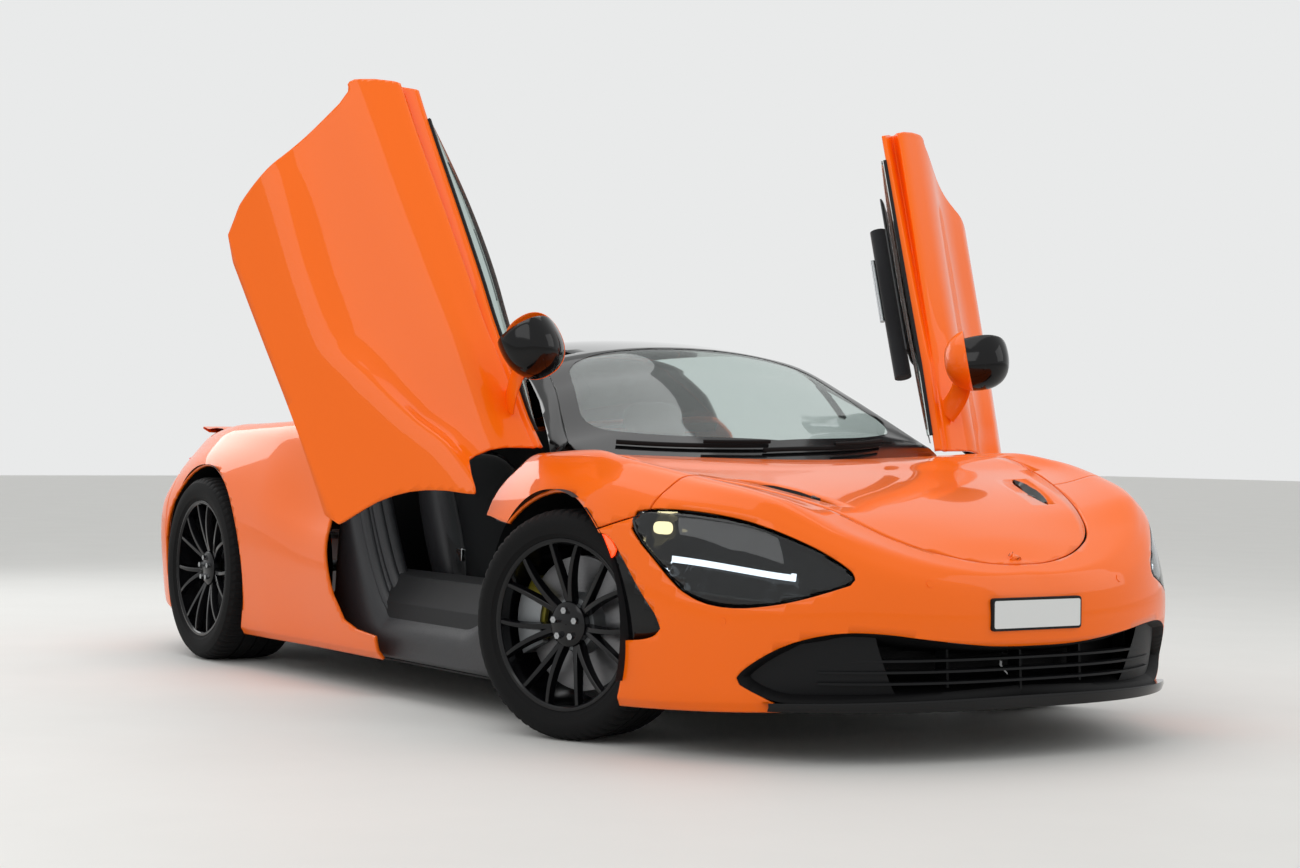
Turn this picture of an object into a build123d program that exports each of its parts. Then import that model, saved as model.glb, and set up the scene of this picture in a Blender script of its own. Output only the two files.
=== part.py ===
"""Mid-engined two-seat supercar with both dihedral doors open.

Millimetres.  +X is forward, +Y is the car's left and +Z is up.  The origin is on the
ground under the middle of the car's length.  The front wheels stand steered to the left.
"""

from build123d import *
import os
from math import atan2, cos, degrees, hypot, radians, sin, sqrt

# ---------------------------------------------------------------- driving dimensions
LENGTH = 4543.0
WIDTH = 1930.0
WHEELBASE = 2670.0
FRONT_OVERHANG = 1007.5
FRONT_TRACK = 1674.0
REAR_TRACK = 1629.0
GROUND_CLEARANCE = 112.0

FRONT_TYRE_R = 327.0
FRONT_TYRE_W = 245.0
FRONT_RIM_R = 246.0
REAR_TYRE_R = 345.5
REAR_TYRE_W = 300.0
REAR_RIM_R = 259.0
RIM_WALL = 9.0
SPOKE_PAIRS = 5
DISC_R = 192.0
DISC_THICKNESS = 34.0
HUB_R = 62.0

FRONT_ARCH_R = 376.0
REAR_ARCH_R = 392.0
LINER_GAP = 22.0
LINER_WALL = 4.0

SPLITTER_WALL = 20.0
SPLITTER_RISE = 46.0
PANEL_WALL = 22.0
FLOOR_WALL = 6.0
ROOF_WALL = 22.0
GLASS_WALL = 6.0
DOOR_THICKNESS = 70.0
SHUT_GAP = 6.0
SEAT_GAP = 0.3

BULKHEAD_WALL = 40.0
HINGE_PIN_R = 6.0
HINGE_EYE_R = 14.0
WING_PIN_R = 5.0

REST_STEER = 20.0
KINGPIN_INSET = 70.0
KINGPIN_R = 14.0
DOOR_SWING = 68.3
DOOR_GAP = 10.0
DOOR_SKIN = 8.0
DOOR_STEP = 35.0

# ---------------------------------------------------------------- derived places
NOSE_X = LENGTH / 2
TAIL_X = -LENGTH / 2
HALF_WIDTH = WIDTH / 2
FRONT_AXLE_X = NOSE_X - FRONT_OVERHANG
REAR_AXLE_X = FRONT_AXLE_X - WHEELBASE
FLOOR_Z = GROUND_CLEARANCE
TUB_Z = FLOOR_Z + FLOOR_WALL
HINGE_POINT = Vector(FRONT_AXLE_X - 394, HALF_WIDTH - 324, 861)
HINGE_AXIS = Vector(0.4405, 0.7615, -0.4754)

# ---------------------------------------------------------------- body section tables
# x is measured forward from the axle named in the table's title.  A y column ending in
# _in is measured inboard from the car's widest line; the other y columns are half widths.
SECTION_COLUMNS = ("x", "floor_z", "rocker_in", "rocker_z", "waist_in", "waist_z", "cheek_in", "cheek_z",
                   "crest_y", "crest_z", "deck_y", "deck_z", "centre_z")
FRONT_SECTIONS = (  # from the front axle
    (-414, 118, 60, 150, 15, 560, 70, 705, 775, 806, 600, 815, 818),
    (0, 118, 40, 150, 3, 500, 45, 690, 760, 832, 560, 806, 786),
    (336, 122, 25, 150, 0, 450, 62, 660, 690, 812, 480, 765, 735),
    (600, 130, 30, 160, 0, 420, 110, 630, 620, 764, 420, 705, 676),
    (780, 140, 60, 170, 8, 400, 165, 585, 560, 692, 400, 640, 607),
    (FRONT_OVERHANG, 160, 100, 185, 30, 360, 210, 450, 520, 482, 380, 480, 480),
)
REAR_SECTIONS = (  # from the rear axle
    (1466, 118, 60, 150, 25, 420, 85, 600, 862, 800, 690, 910, 930),
    (1000, 118, 60, 150, 22, 480, 70, 650, 850, 860, 690, 965, 985),
    (500, 118, 45, 150, 5, 550, 35, 730, 830, 905, 600, 930, 930),
    (0, 120, 35, 150, 0, 570, 30, 740, 800, 900, 560, 895, 885),
    (-400, 150, 35, 180, 4, 570, 50, 740, 770, 882, 540, 886, 886),
    (-700, 210, 45, 240, 18, 560, 75, 720, 740, 862, 520, 876, 876),
    (TAIL_X - REAR_AXLE_X, 250, 65, 280, 40, 550, 95, 700, 720, 842, 500, 862, 862),
)
# Glasshouse sections: x from the front axle, then half width and height of the belt and
# of the roof rail, and the height of the crown.
CANOPY_COLUMNS = ("x", "belt_y", "belt_z", "rail_y", "rail_z", "crown_z")
CANOPY_SECTIONS = (
    (20, 400, 712, 300, 732, 750),
    (-94, 520, 738, 420, 768, 802),
    (-335, 735, 780, 690, 842, 926),
    (-612, 765, 820, 575, 1016, 1078),
    (-794, 768, 840, 520, 1106, 1166),
    (-1114, 762, 875, 505, 1152, 1196),
    (-1514, 757, 915, 495, 1146, 1192),
    (-1914, 735, 930, 440, 1085, 1134),
    (-2314, 680, 905, 350, 985, 1012),
    (-2614, 600, 870, 280, 893, 903),
)
CANOPY_BASE_Z = 620.0
# Door skin sections: x from the front axle; bottom, ridge, valley, crease and belt heights.
DOOR_COLUMNS = ("x", "bottom_z", "ridge_z", "valley_z", "crease_z", "belt_z")
DOOR_SECTIONS = (
    (-1740, 238, 462, 600, 800, 965),
    (-1500, 228, 440, 575, 774, 925),
    (-1144, 208, 387, 516, 746, 875),
    (-800, 178, 430, 516, 734, 822),
    (-470, 148, 565, 600, 700, 782),
    (-270, 130, 600, 640, 690, 775),
)
DOOR_BOTTOM_IN = 38.0
DOOR_RIDGE_IN = 14.0
DOOR_VALLEY_IN = 82.0
DOOR_CREASE_IN = 103.0
DOOR_BELT_IN = 203.0

NOSE_ROUND_LENGTH = 631.0
TAIL_ROUND_LENGTH = 330.0
WING_HINGE_X = REAR_AXLE_X - 520
WING_HINGE_Z = 871.0


# ---------------------------------------------------------------- drawing helpers
def side_plate(points, y0, y1, radius=0.0):
    """Outline in side view (x, z), carried across the car from y0 to y1."""
    line = FilletPolyline(*points, radius=radius, close=True)
    face = make_face(Plane.XZ.offset(-y0) * line)
    return extrude(face, amount=y1 - y0, dir=(0, 1, 0))


def plan_plate(points, z0, z1, radius=0.0):
    """Outline seen from above (x, y), carried up from z0 to z1."""
    line = FilletPolyline(*points, radius=radius, close=True)
    return extrude(make_face(Plane.XY.offset(z0) * line), amount=z1 - z0, dir=(0, 0, 1))


def front_plate(points, x0, x1, radius=0.0):
    """Outline in front view (y, z), carried along the car from x0 to x1."""
    line = FilletPolyline(*points, radius=radius, close=True)
    return extrude(make_face(Plane.YZ.offset(x0) * line), amount=x1 - x0, dir=(1, 0, 0))


def block(x0, x1, y0, y1, z0, z1):
    return Pos((x0 + x1) / 2, (y0 + y1) / 2, (z0 + z1) / 2) * Box(x1 - x0, y1 - y0, z1 - z0)


def rod(start, end, radius):
    """Round bar between two points."""
    a = Vector(*start)
    b = Vector(*end)
    plane = Plane(origin=a, z_dir=(b - a).normalized())
    return extrude(plane * Circle(radius), amount=(b - a).length)


def across(x, z, radius, y0, y1):
    """Cylinder whose axis runs across the car."""
    return rod((x, y0, z), (x, y1, z), radius)


def mirrored(part):
    return mirror(part, about=Plane.XZ)


def both(part):
    return Compound(children=[part, mirrored(part)])


def union(parts):
    result = parts[0]
    for part in parts[1:]:
        result = result + part
    return result


def largest(part):
    """The biggest solid of a cut piece, without the offcuts."""
    return max(part.solids(), key=lambda solid: solid.volume)


def inset(points, wall):
    """Closed polygon with each side moved inwards by the wall."""
    count = len(points)
    moved = []
    for index in range(count):
        before = points[index - 1]
        here = points[index]
        after = points[(index + 1) % count]
        first = Vector(here[0] - before[0], here[1] - before[1]).normalized()
        second = Vector(after[0] - here[0], after[1] - here[1]).normalized()
        # inward normals of a polygon that is listed anticlockwise
        n1 = Vector(-first.Y, first.X)
        n2 = Vector(-second.Y, second.X)
        share = wall / max(0.25, 1 + n1.dot(n2))
        moved.append((here[0] + (n1.X + n2.X) * share, here[1] + (n1.Y + n2.Y) * share))
    return moved


def section_face(x, half, wall):
    """Face across the car at x from its left half outline, listed from the bottom up."""
    right = [(-y, z) for y, z in reversed(half) if y > 0]
    outline = half + right
    if wall:
        outline = inset(outline, wall)
    return make_face(Plane.YZ.offset(x) * Polyline(*outline, close=True))


# ---------------------------------------------------------------- master surfaces
def body_half(row):
    r = dict(zip(SECTION_COLUMNS, row))
    return [(HALF_WIDTH - r["rocker_in"] - 25, r["floor_z"]),
            (HALF_WIDTH - r["rocker_in"], r["rocker_z"]),
            (HALF_WIDTH - r["waist_in"], r["waist_z"]),
            (HALF_WIDTH - r["cheek_in"], r["cheek_z"]),
            (r["crest_y"], r["crest_z"]),
            (r["deck_y"], r["deck_z"]),
            (0, r["centre_z"])]


def body_solid(rows, origin_x, wall=0.0):
    faces = [section_face(origin_x + row[0], body_half(row), wall) for row in rows]
    return loft(faces)


def canopy_half(row):
    r = dict(zip(CANOPY_COLUMNS, row))
    mid_y = r["belt_y"] * 0.45 + r["rail_y"] * 0.55 + 12
    mid_z = r["belt_z"] * 0.45 + r["rail_z"] * 0.55 + 10
    return [(r["belt_y"] - 20, CANOPY_BASE_Z),
            (r["belt_y"], r["belt_z"]),
            (mid_y, mid_z),
            (r["rail_y"], r["rail_z"]),
            (r["rail_y"] * 0.5, r["rail_z"] + (r["crown_z"] - r["rail_z"]) * 0.78),
            (0, r["crown_z"])]


def canopy_solid(wall=0.0):
    faces = [section_face(FRONT_AXLE_X + row[0], canopy_half(row), wall) for row in CANOPY_SECTIONS]
    return loft(faces)


def nose_prism(wall=0.0):
    """Plan outline of the whole car: a half ellipse at the nose, a squarer round at the tail."""
    start = NOSE_X - NOSE_ROUND_LENGTH
    half = HALF_WIDTH - wall
    reach = NOSE_ROUND_LENGTH - wall

    def ellipse(share):
        return (start + reach * share, half * sqrt(1 - share * share))

    tail_start = TAIL_X + TAIL_ROUND_LENGTH
    left = Line((tail_start, half), (start, half))
    arc1 = ThreePointArc((start, half), ellipse(0.31), ellipse(0.6))
    arc2 = ThreePointArc(ellipse(0.6), ellipse(0.8), ellipse(0.93))
    tip = ellipse(0.93)
    arc3 = ThreePointArc(tip, (start + reach, 0), (tip[0], -tip[1]))
    corner = (TAIL_X + wall, half * 0.62)
    bend = (TAIL_X + wall + TAIL_ROUND_LENGTH * 0.22, half * 0.88)
    arc4 = ThreePointArc(corner, bend, (tail_start, half))
    other = [mirror(edge, about=Plane.XZ) for edge in (left, arc1, arc2, arc4)]
    back = Line(corner, (corner[0], -corner[1]))
    wire = Wire([*left.edges(), *arc1.edges(), *arc2.edges(), *arc3.edges(), *arc4.edges(),
                 *back.edges(), *[e for piece in other for e in piece.edges()]])
    return extrude(Face(wire), amount=1500, dir=(0, 0, 1))


def hinge_turn(part, angle):
    """The part turned about the left door's hinge line."""
    return part.rotate(Axis(HINGE_POINT, HINGE_AXIS), angle)


def build_masters():
    outline = nose_prism()
    inner_outline = nose_prism(PANEL_WALL)
    front = body_solid(FRONT_SECTIONS, FRONT_AXLE_X) & outline
    front_in = body_solid(FRONT_SECTIONS, FRONT_AXLE_X, PANEL_WALL) & inner_outline
    rear = body_solid(REAR_SECTIONS, REAR_AXLE_X) & outline
    rear_in = body_solid(REAR_SECTIONS, REAR_AXLE_X, PANEL_WALL) & inner_outline
    canopy = canopy_solid()
    return {"front": front, "front_in": front_in, "front_shell": front - front_in,
            "rear": rear, "rear_shell": rear - rear_in,
            "canopy": canopy,
            "canopy_glass": canopy_solid(GLASS_WALL), "canopy_in": canopy_solid(ROOF_WALL)}



# ---------------------------------------------------------------- shared outlines
DOOR_FRONT_EDGE = ((-418, 604), (-413, 681), (-372, 792), (-395, 840))
DOOR_OUTLINE = (  # side view, x from the front axle
    (-430, 128), (-436, 276), (-414, 391), (-363, 489), (-290, 582), (-300, 590),
    (-378, 600), *DOOR_FRONT_EDGE, (-1560, 1060), (-1612, 963), (-1672, 890), (-1719, 782),
    (-1669, 780), (-1610, 595), (-1563, 471), (-1506, 320), (-1483, 297), (-1426, 225),
    (-1134, 200), (-804, 176), (-644, 158))
LID_OUTLINE = ((-300, 590), (0, 590), (300, 545), (560, 470), (760, 380), (880, 250), (943, 90))
LAMP_OUTLINE = ((905, 560), (905, 649), (885, 672), (800, 656), (680, 591), (530, 487), (660, 431),
                (750, 410), (820, 452))
INTAKE_HALF = ((0, 300), (350, 305), (560, 335), (680, 345), (760, 300), (770, 235), (740, 205), (0, 205))
VENT_OUTLINE = ((60, 585), (145, 576), (314, 523), (425, 420), (498, 351), (479, 322), (376, 304), (60, 297))
FENDER_SPLIT = ((-500, 626), (-380, 617), (-300, 604), (-240, 598), (140, 598), (145, 576), (426, 655),
                (440, 1000), (-500, 1000))
BULKHEAD_X = FRONT_AXLE_X - 424
CABIN_REAR_X = FRONT_AXLE_X - 1780
PLATE_Z = 396.0
PLATE_BOLT_PITCH = 180.0
PLATE_BOLT_R = 3.0
EXHAUST_Y = 150.0
EXHAUST_Z = 606.0
EXHAUST_R = 58.0
DECK_HALF = 450.0
DECK_FRONT_X = REAR_AXLE_X + 220
DECK_REAR_X = REAR_AXLE_X - 480
WING_HALF = 640.0
WING_CHORD = 250.0
TAIL_PANEL_Z = 700.0
UNDERFLOOR_FRONT_X = FRONT_AXLE_X + 356
UNDERFLOOR_REAR_X = REAR_AXLE_X - 500
DRIVER_Y = 330.0


def from_front(points):
    return [(FRONT_AXLE_X + x, other) for x, other in points]


def grown(points, by):
    """Outline with each side moved outwards."""
    area = sum(a[0] * b[1] - b[0] * a[1] for a, b in zip(points, points[1:] + points[:1]))
    turned = points if area > 0 else points[::-1]
    return inset(turned, -by)


def arch_cutter(axle_x, axle_z, radius, inner_y):
    """Round opening for one left wheel: a lip in the skin and a wider well inside it."""
    lip = across(axle_x, axle_z, radius, inner_y, HALF_WIDTH + 100)
    well = across(axle_x, axle_z, radius + LINER_GAP, inner_y, HALF_WIDTH - 60)
    return lip + well


def lid_plate(grow):
    half = from_front(LID_OUTLINE)
    outline = half + [(x, -y) for x, y in reversed(half)]
    return plan_plate(grown(outline, grow), 440, 1000)


# ---------------------------------------------------------------- structure
def make_tub():
    """Floor, side sills, front and rear bulkheads and the scuttle beam."""
    floor = block(CABIN_REAR_X, BULKHEAD_X, -600, 600, TUB_Z, TUB_Z + 22)
    sill_top = [(560, TUB_Z), (HALF_WIDTH - 140, TUB_Z), (HALF_WIDTH - 128, 200), (HALF_WIDTH - 165, 300),
                (HALF_WIDTH - 240, 385), (HALF_WIDTH - 320, 400), (600, 330), (560, 220)]
    sill = front_plate(sill_top, CABIN_REAR_X, BULKHEAD_X, radius=12)
    ridge = [(HALF_WIDTH - 225, 360), (HALF_WIDTH - 200, 372), (HALF_WIDTH - 225, 395), (HALF_WIDTH - 255, 400)]
    front = block(BULKHEAD_X, BULKHEAD_X + BULKHEAD_WALL, -490, 490, TUB_Z, 730)
    scuttle = block(BULKHEAD_X, BULKHEAD_X + 190, -560, 560, 690, 730)
    ears = hinge_ears()
    rear = block(CABIN_REAR_X, CABIN_REAR_X + 40, -690, 690, TUB_Z, 880)
    return union([floor, sill, mirrored(sill), front, scuttle, rear, ears, mirrored(ears)])


def hinge_place(along):
    """Point on the left door's hinge line."""
    return HINGE_POINT + HINGE_AXIS.normalized() * along


def hinge_rod(start, end, radius):
    return rod(hinge_place(start), hinge_place(end), radius)


def hinge_ears():
    """Fixed half of the left door hinge: a foot on the scuttle, two ears and the pin."""
    pin = hinge_rod(-10, 62, HINGE_PIN_R)
    low = hinge_rod(-10, 14, HINGE_EYE_R)
    high = hinge_rod(50, 62, HINGE_EYE_R)
    foot = (BULKHEAD_X + 60, 545, 722)
    leg = rod(foot, hinge_place(2), 13)
    leg_high = rod((BULKHEAD_X + 100, 552, 722), hinge_place(56), 10)
    return union([low, high, leg, leg_high]) - hinge_rod(14, 50, HINGE_EYE_R + 5) + pin


def hinge_eye():
    """Moving half of the left door hinge, in the closed pose."""
    eye = hinge_rod(14 + SEAT_GAP, 50 - SEAT_GAP, HINGE_EYE_R)
    arm = rod(hinge_place(32), (STRIP_FRONT_X - 20, HALF_WIDTH - 275, 840), 11)
    return eye + arm - hinge_rod(0, 60, HINGE_PIN_R + SEAT_GAP)


def make_underfloor():
    """Flat undertray, waisted at the four wheels."""
    plate = block(UNDERFLOOR_REAR_X, UNDERFLOOR_FRONT_X, -HALF_WIDTH + 130, HALF_WIDTH - 130,
                  FLOOR_Z, FLOOR_Z + FLOOR_WALL)
    for axle_x, radius, inner in ((FRONT_AXLE_X, FRONT_ARCH_R, 500), (REAR_AXLE_X, REAR_ARCH_R, 600)):
        well = block(axle_x - radius - LINER_GAP, axle_x + radius + LINER_GAP, inner, HALF_WIDTH, 0, 400)
        plate = plate - well - mirrored(well)
    return plate


def make_luggage_tub(m):
    """Open carpeted well under the front lid, with the lid's rest buffers on its rim."""
    x0 = BULKHEAD_X + BULKHEAD_WALL
    x1 = FRONT_AXLE_X + 560
    outer = block(x0, x1, -420, 420, 330, 640)
    inner = block(x0 + 190, x1 - 12, -408, 408, 342, 700)
    well = outer - inner
    reach = Pos(0, 0, -SEAT_GAP) * m["front_in"]
    for x in (x0 + 330, x1 - 30):
        for y in (-390, 390):
            well = well + (rod((x, y, 600), (x, y, 900), 14) & reach)
    return well


def make_arch_liners():
    liners = []
    for axle_x, axle_z, radius, inner in ((FRONT_AXLE_X, FRONT_TYRE_R, FRONT_ARCH_R, 500),
                                          (REAR_AXLE_X, REAR_TYRE_R, REAR_ARCH_R, 600)):
        outer_r = radius + LINER_GAP
        ring = across(axle_x, axle_z, outer_r, inner, HALF_WIDTH - 120)
        ring = ring - across(axle_x, axle_z, outer_r - LINER_WALL, inner - 10, HALF_WIDTH)
        ring = ring & block(axle_x - 600, axle_x + 600, 0, HALF_WIDTH, axle_z + 30, 1000)
        liners += [ring, mirrored(ring)]
    return Compound(children=liners)


# ---------------------------------------------------------------- outer panels
def front_shell(m):
    shell = m["front_shell"]
    arch = arch_cutter(FRONT_AXLE_X, FRONT_TYRE_R, FRONT_ARCH_R, 480)
    tray = block(FRONT_AXLE_X - 500, NOSE_X - 120, -HALF_WIDTH + 90, HALF_WIDTH - 90, 0, 190)
    return shell - m["canopy"] - arch - mirrored(arch) - tray


def door_zone(grow):
    return side_plate(grown(from_front(DOOR_OUTLINE), grow), 560, HALF_WIDTH + 100)


def make_front(m):
    """Fenders, bumper, lid, lamps and grille, all cut from one front shell."""
    shell = front_shell(m)
    splitter = make_splitter()
    lamp_zone = front_plate(LAMP_OUTLINE, FRONT_AXLE_X + 380, NOSE_X + 50)
    intake = INTAKE_HALF + tuple((-y, z) for y, z in reversed(INTAKE_HALF) if y)
    intake_zone = front_plate(intake, FRONT_AXLE_X + 700, NOSE_X + 50)
    vent_zone = side_plate(from_front(VENT_OUTLINE), 700, HALF_WIDTH + 50)
    body = shell - lid_plate(0) - lamp_zone - mirrored(lamp_zone) - intake_zone - splitter
    fender_zone = side_plate(from_front(FENDER_SPLIT), -HALF_WIDTH - 50, HALF_WIDTH + 50)
    fenders = body & fender_zone
    fender_left = (fenders & block(0, NOSE_X, 0, HALF_WIDTH + 50, 0, 1500)) - door_zone(DOOR_GAP + 5)
    bumper = (body - fender_zone) & block(FRONT_AXLE_X + 100, NOSE_X + 50, -1200, 1200, 0, 1500)
    vents = bumper & (vent_zone + mirrored(vent_zone))
    bumper = bumper - vent_zone - mirrored(vent_zone)
    for y in (-PLATE_BOLT_PITCH / 2, PLATE_BOLT_PITCH / 2):
        bumper = bumper - rod((NOSE_X - 80, y, PLATE_Z), (NOSE_X + 20, y, PLATE_Z), PLATE_BOLT_R)
    lid = m["front_shell"] & lid_plate(-SHUT_GAP)
    lid = lid - m["canopy"] - Pos(14, 0, 0) * m["canopy"] - Pos(0, 0, SHUT_GAP + 2) * m["canopy"]
    lamp = m["front_shell"] & lamp_zone
    return {"front_bumper": bumper, "fender_left": fender_left, "front_lid": lid,
            "headlamps": both(lamp), "front_splitter": splitter, "vents": vents}


def splitter_top(x):
    """Height of the splitter's upper face at x."""
    share = (x - UNDERFLOOR_FRONT_X) / (NOSE_X + 40 - UNDERFLOOR_FRONT_X)
    return FLOOR_Z + SPLITTER_WALL + share * SPLITTER_RISE


def make_splitter():
    """Dark blade under the nose, a little lower at its corners than at its middle."""
    tip_x = NOSE_X + 40
    tip_z = FLOOR_Z + SPLITTER_RISE
    blade = side_plate([(UNDERFLOOR_FRONT_X, FLOOR_Z), (tip_x, tip_z), (tip_x, tip_z + SPLITTER_WALL),
                        (UNDERFLOOR_FRONT_X, FLOOR_Z + SPLITTER_WALL)], -HALF_WIDTH, HALF_WIDTH)
    return blade & nose_prism(24)


def make_grille(m, vents):
    """Slats and back plate in the low intake, and the vent panels ahead of the wheels."""
    face_x = NOSE_X - 190
    back = block(face_x, face_x + 12, -610, 610, splitter_top(face_x + 12) + SEAT_GAP, 345)
    slats = [block(face_x, face_x + 60, -600, 600, z, z + 6) for z in range(215, 300, 24)]
    posts = [block(face_x, face_x + 60, y - 4, y + 4, 206, 320) for y in (-420, -210, 0, 210, 420)]
    mesh = union([back] + slats + posts)
    return mesh, vents


def rear_shell(m):
    shell = m["rear_shell"]
    arch = arch_cutter(REAR_AXLE_X, REAR_TYRE_R, REAR_ARCH_R, 560)
    tray = block(TAIL_X - 10, 200, -HALF_WIDTH + 90, HALF_WIDTH - 90, 0, 236)
    door = door_zone(DOOR_GAP)
    return shell - m["canopy"] - arch - mirrored(arch) - tray - door - mirrored(door)


def make_rear(m):
    shell = rear_shell(m)
    deck_zone = block(DECK_REAR_X, DECK_FRONT_X + 300, -DECK_HALF, DECK_HALF, 780, 1000)
    wing_front = WING_HINGE_X
    wing_rear = wing_front - WING_CHORD
    wing_zone = block(wing_rear - SHUT_GAP, wing_front + SHUT_GAP, -WING_HALF - SHUT_GAP,
                      WING_HALF + SHUT_GAP, 800, 1000)
    deck = shell & deck_zone
    slots = [block(x, x + 46, -300, 300, 700, 1000)
             for x in range(round(DECK_REAR_X) + 90, round(DECK_FRONT_X) - 60, 92)]
    deck = deck - Compound(children=slots)
    rest = shell - deck_zone - wing_zone
    tail = block(TAIL_X - 50, TAIL_X + 40, -HALF_WIDTH, HALF_WIDTH, TAIL_PANEL_Z - 260, 900)
    lamp_zone = front_plate([(330, 740), (860, 707), (880, 735), (840, 775), (330, 790)],
                            TAIL_X - 50, TAIL_X + 330)
    grille_zone = front_plate([(-560, 460), (560, 460), (560, 690), (-560, 690)], TAIL_X - 50, TAIL_X + 60)
    tunnel = block(TAIL_X - 50, REAR_AXLE_X, -530, 530, 0, 345)
    lamps = (rest & lamp_zone)
    rest = rest - lamp_zone - mirrored(lamp_zone) - grille_zone
    low = block(TAIL_X - 50, REAR_AXLE_X - 380, -HALF_WIDTH - 50, HALF_WIDTH + 50, 0, TAIL_PANEL_Z)
    bumper = (rest & low) - tunnel
    quarters = rest - low
    quarter_left = quarters & block(TAIL_X - 50, 200, 0, HALF_WIDTH + 50, 0, 1500)
    quarter_left = largest(quarter_left) - wing_pin(WING_PIN_R + SEAT_GAP, WING_HALF + SHUT_GAP + 12)
    return {"engine_cover": deck, "tail_lamps": both(lamps), "rear_bumper": bumper,
            "quarter_left": quarter_left}


def make_wing(m):
    """Active wing: a flat aerofoil blade across the tail."""
    front = WING_HINGE_X
    blade = side_plate([(front, 866), (front - 20, 880), (front - 80, 886), (front - WING_CHORD, 878),
                        (front - WING_CHORD, 870), (front - 60, 862), (front - 10, 862)], -WING_HALF, WING_HALF)
    pin = wing_pin(WING_PIN_R, WING_HALF + SHUT_GAP + 10)
    return blade + pin


def wing_pin(radius, reach):
    """Cross pin whose ends carry the wing in the quarter panels."""
    return across(WING_HINGE_X - 14, WING_HINGE_Z, radius, -reach, reach)


def make_rear_grille():
    face_x = TAIL_X + PANEL_WALL
    back = block(face_x, face_x + 8, -575, 575, 440, 740)
    bars = [block(face_x - 14, face_x, -556, 556, z, z + 6) for z in range(480, 680, 50)]
    posts = [block(face_x - 14, face_x, y - 3, y + 3, 466, 685) for y in range(-480, 481, 160)]
    grille = union([back] + bars + posts)
    for y in (-EXHAUST_Y, EXHAUST_Y):
        grille = grille - rod((TAIL_X, y, EXHAUST_Z), (TAIL_X + 60, y, EXHAUST_Z), EXHAUST_R + SEAT_GAP)
    return grille


def make_diffuser():
    """Rising tunnel floor with upright strakes."""
    start = UNDERFLOOR_REAR_X
    ramp = side_plate([(start, FLOOR_Z), (start, FLOOR_Z + FLOOR_WALL), (TAIL_X + 60, 330), (TAIL_X + 60, 322)],
                      -520, 520)
    fins = []
    for y in (-510, -340, -170, 0, 170, 340, 510):
        fins.append(side_plate([(start - 40, FLOOR_Z + 8), (TAIL_X + 60, 190), (TAIL_X + 60, 326),
                                (start - 40, FLOOR_Z + 24)], y - 4, y + 4))
    return union([ramp] + fins)


def make_exhausts():
    pipes = []
    for y in (-EXHAUST_Y, EXHAUST_Y):
        pipe = rod((TAIL_X + 4, y, EXHAUST_Z), (TAIL_X + 330, y, EXHAUST_Z), EXHAUST_R)
        pipe = pipe - rod((TAIL_X, y, EXHAUST_Z), (TAIL_X + 280, y, EXHAUST_Z), EXHAUST_R - 4)
        pipes.append(pipe)
    return Compound(children=pipes)


# ---------------------------------------------------------------- glasshouse
PILLAR_LINE = ((-335, 690), (-612, 578), (-794, 523))
ROOF_CUT_Y = 392.0
HEADER_X = FRONT_AXLE_X - 800
STRIP_FRONT_X = FRONT_AXLE_X - 440
ROOF_REAR_X = FRONT_AXLE_X - 1600


def door_frame_plan(grow):
    """Plan outline of the roof and pillar strip that lifts with the left door."""
    pillar = from_front(PILLAR_LINE)
    inner = [(x, y + 7) for x, y in pillar]
    outer = [(x, y + 58) for x, y in reversed(pillar)]
    outline = ([(ROOF_REAR_X, ROOF_CUT_Y), (HEADER_X - 14, ROOF_CUT_Y), (HEADER_X - 14, inner[-1][1])]
               + inner[::-1] + outer[::-1] + [(ROOF_REAR_X, 560)])
    return plan_plate(grown(outline, grow), 780, 1400)


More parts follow.
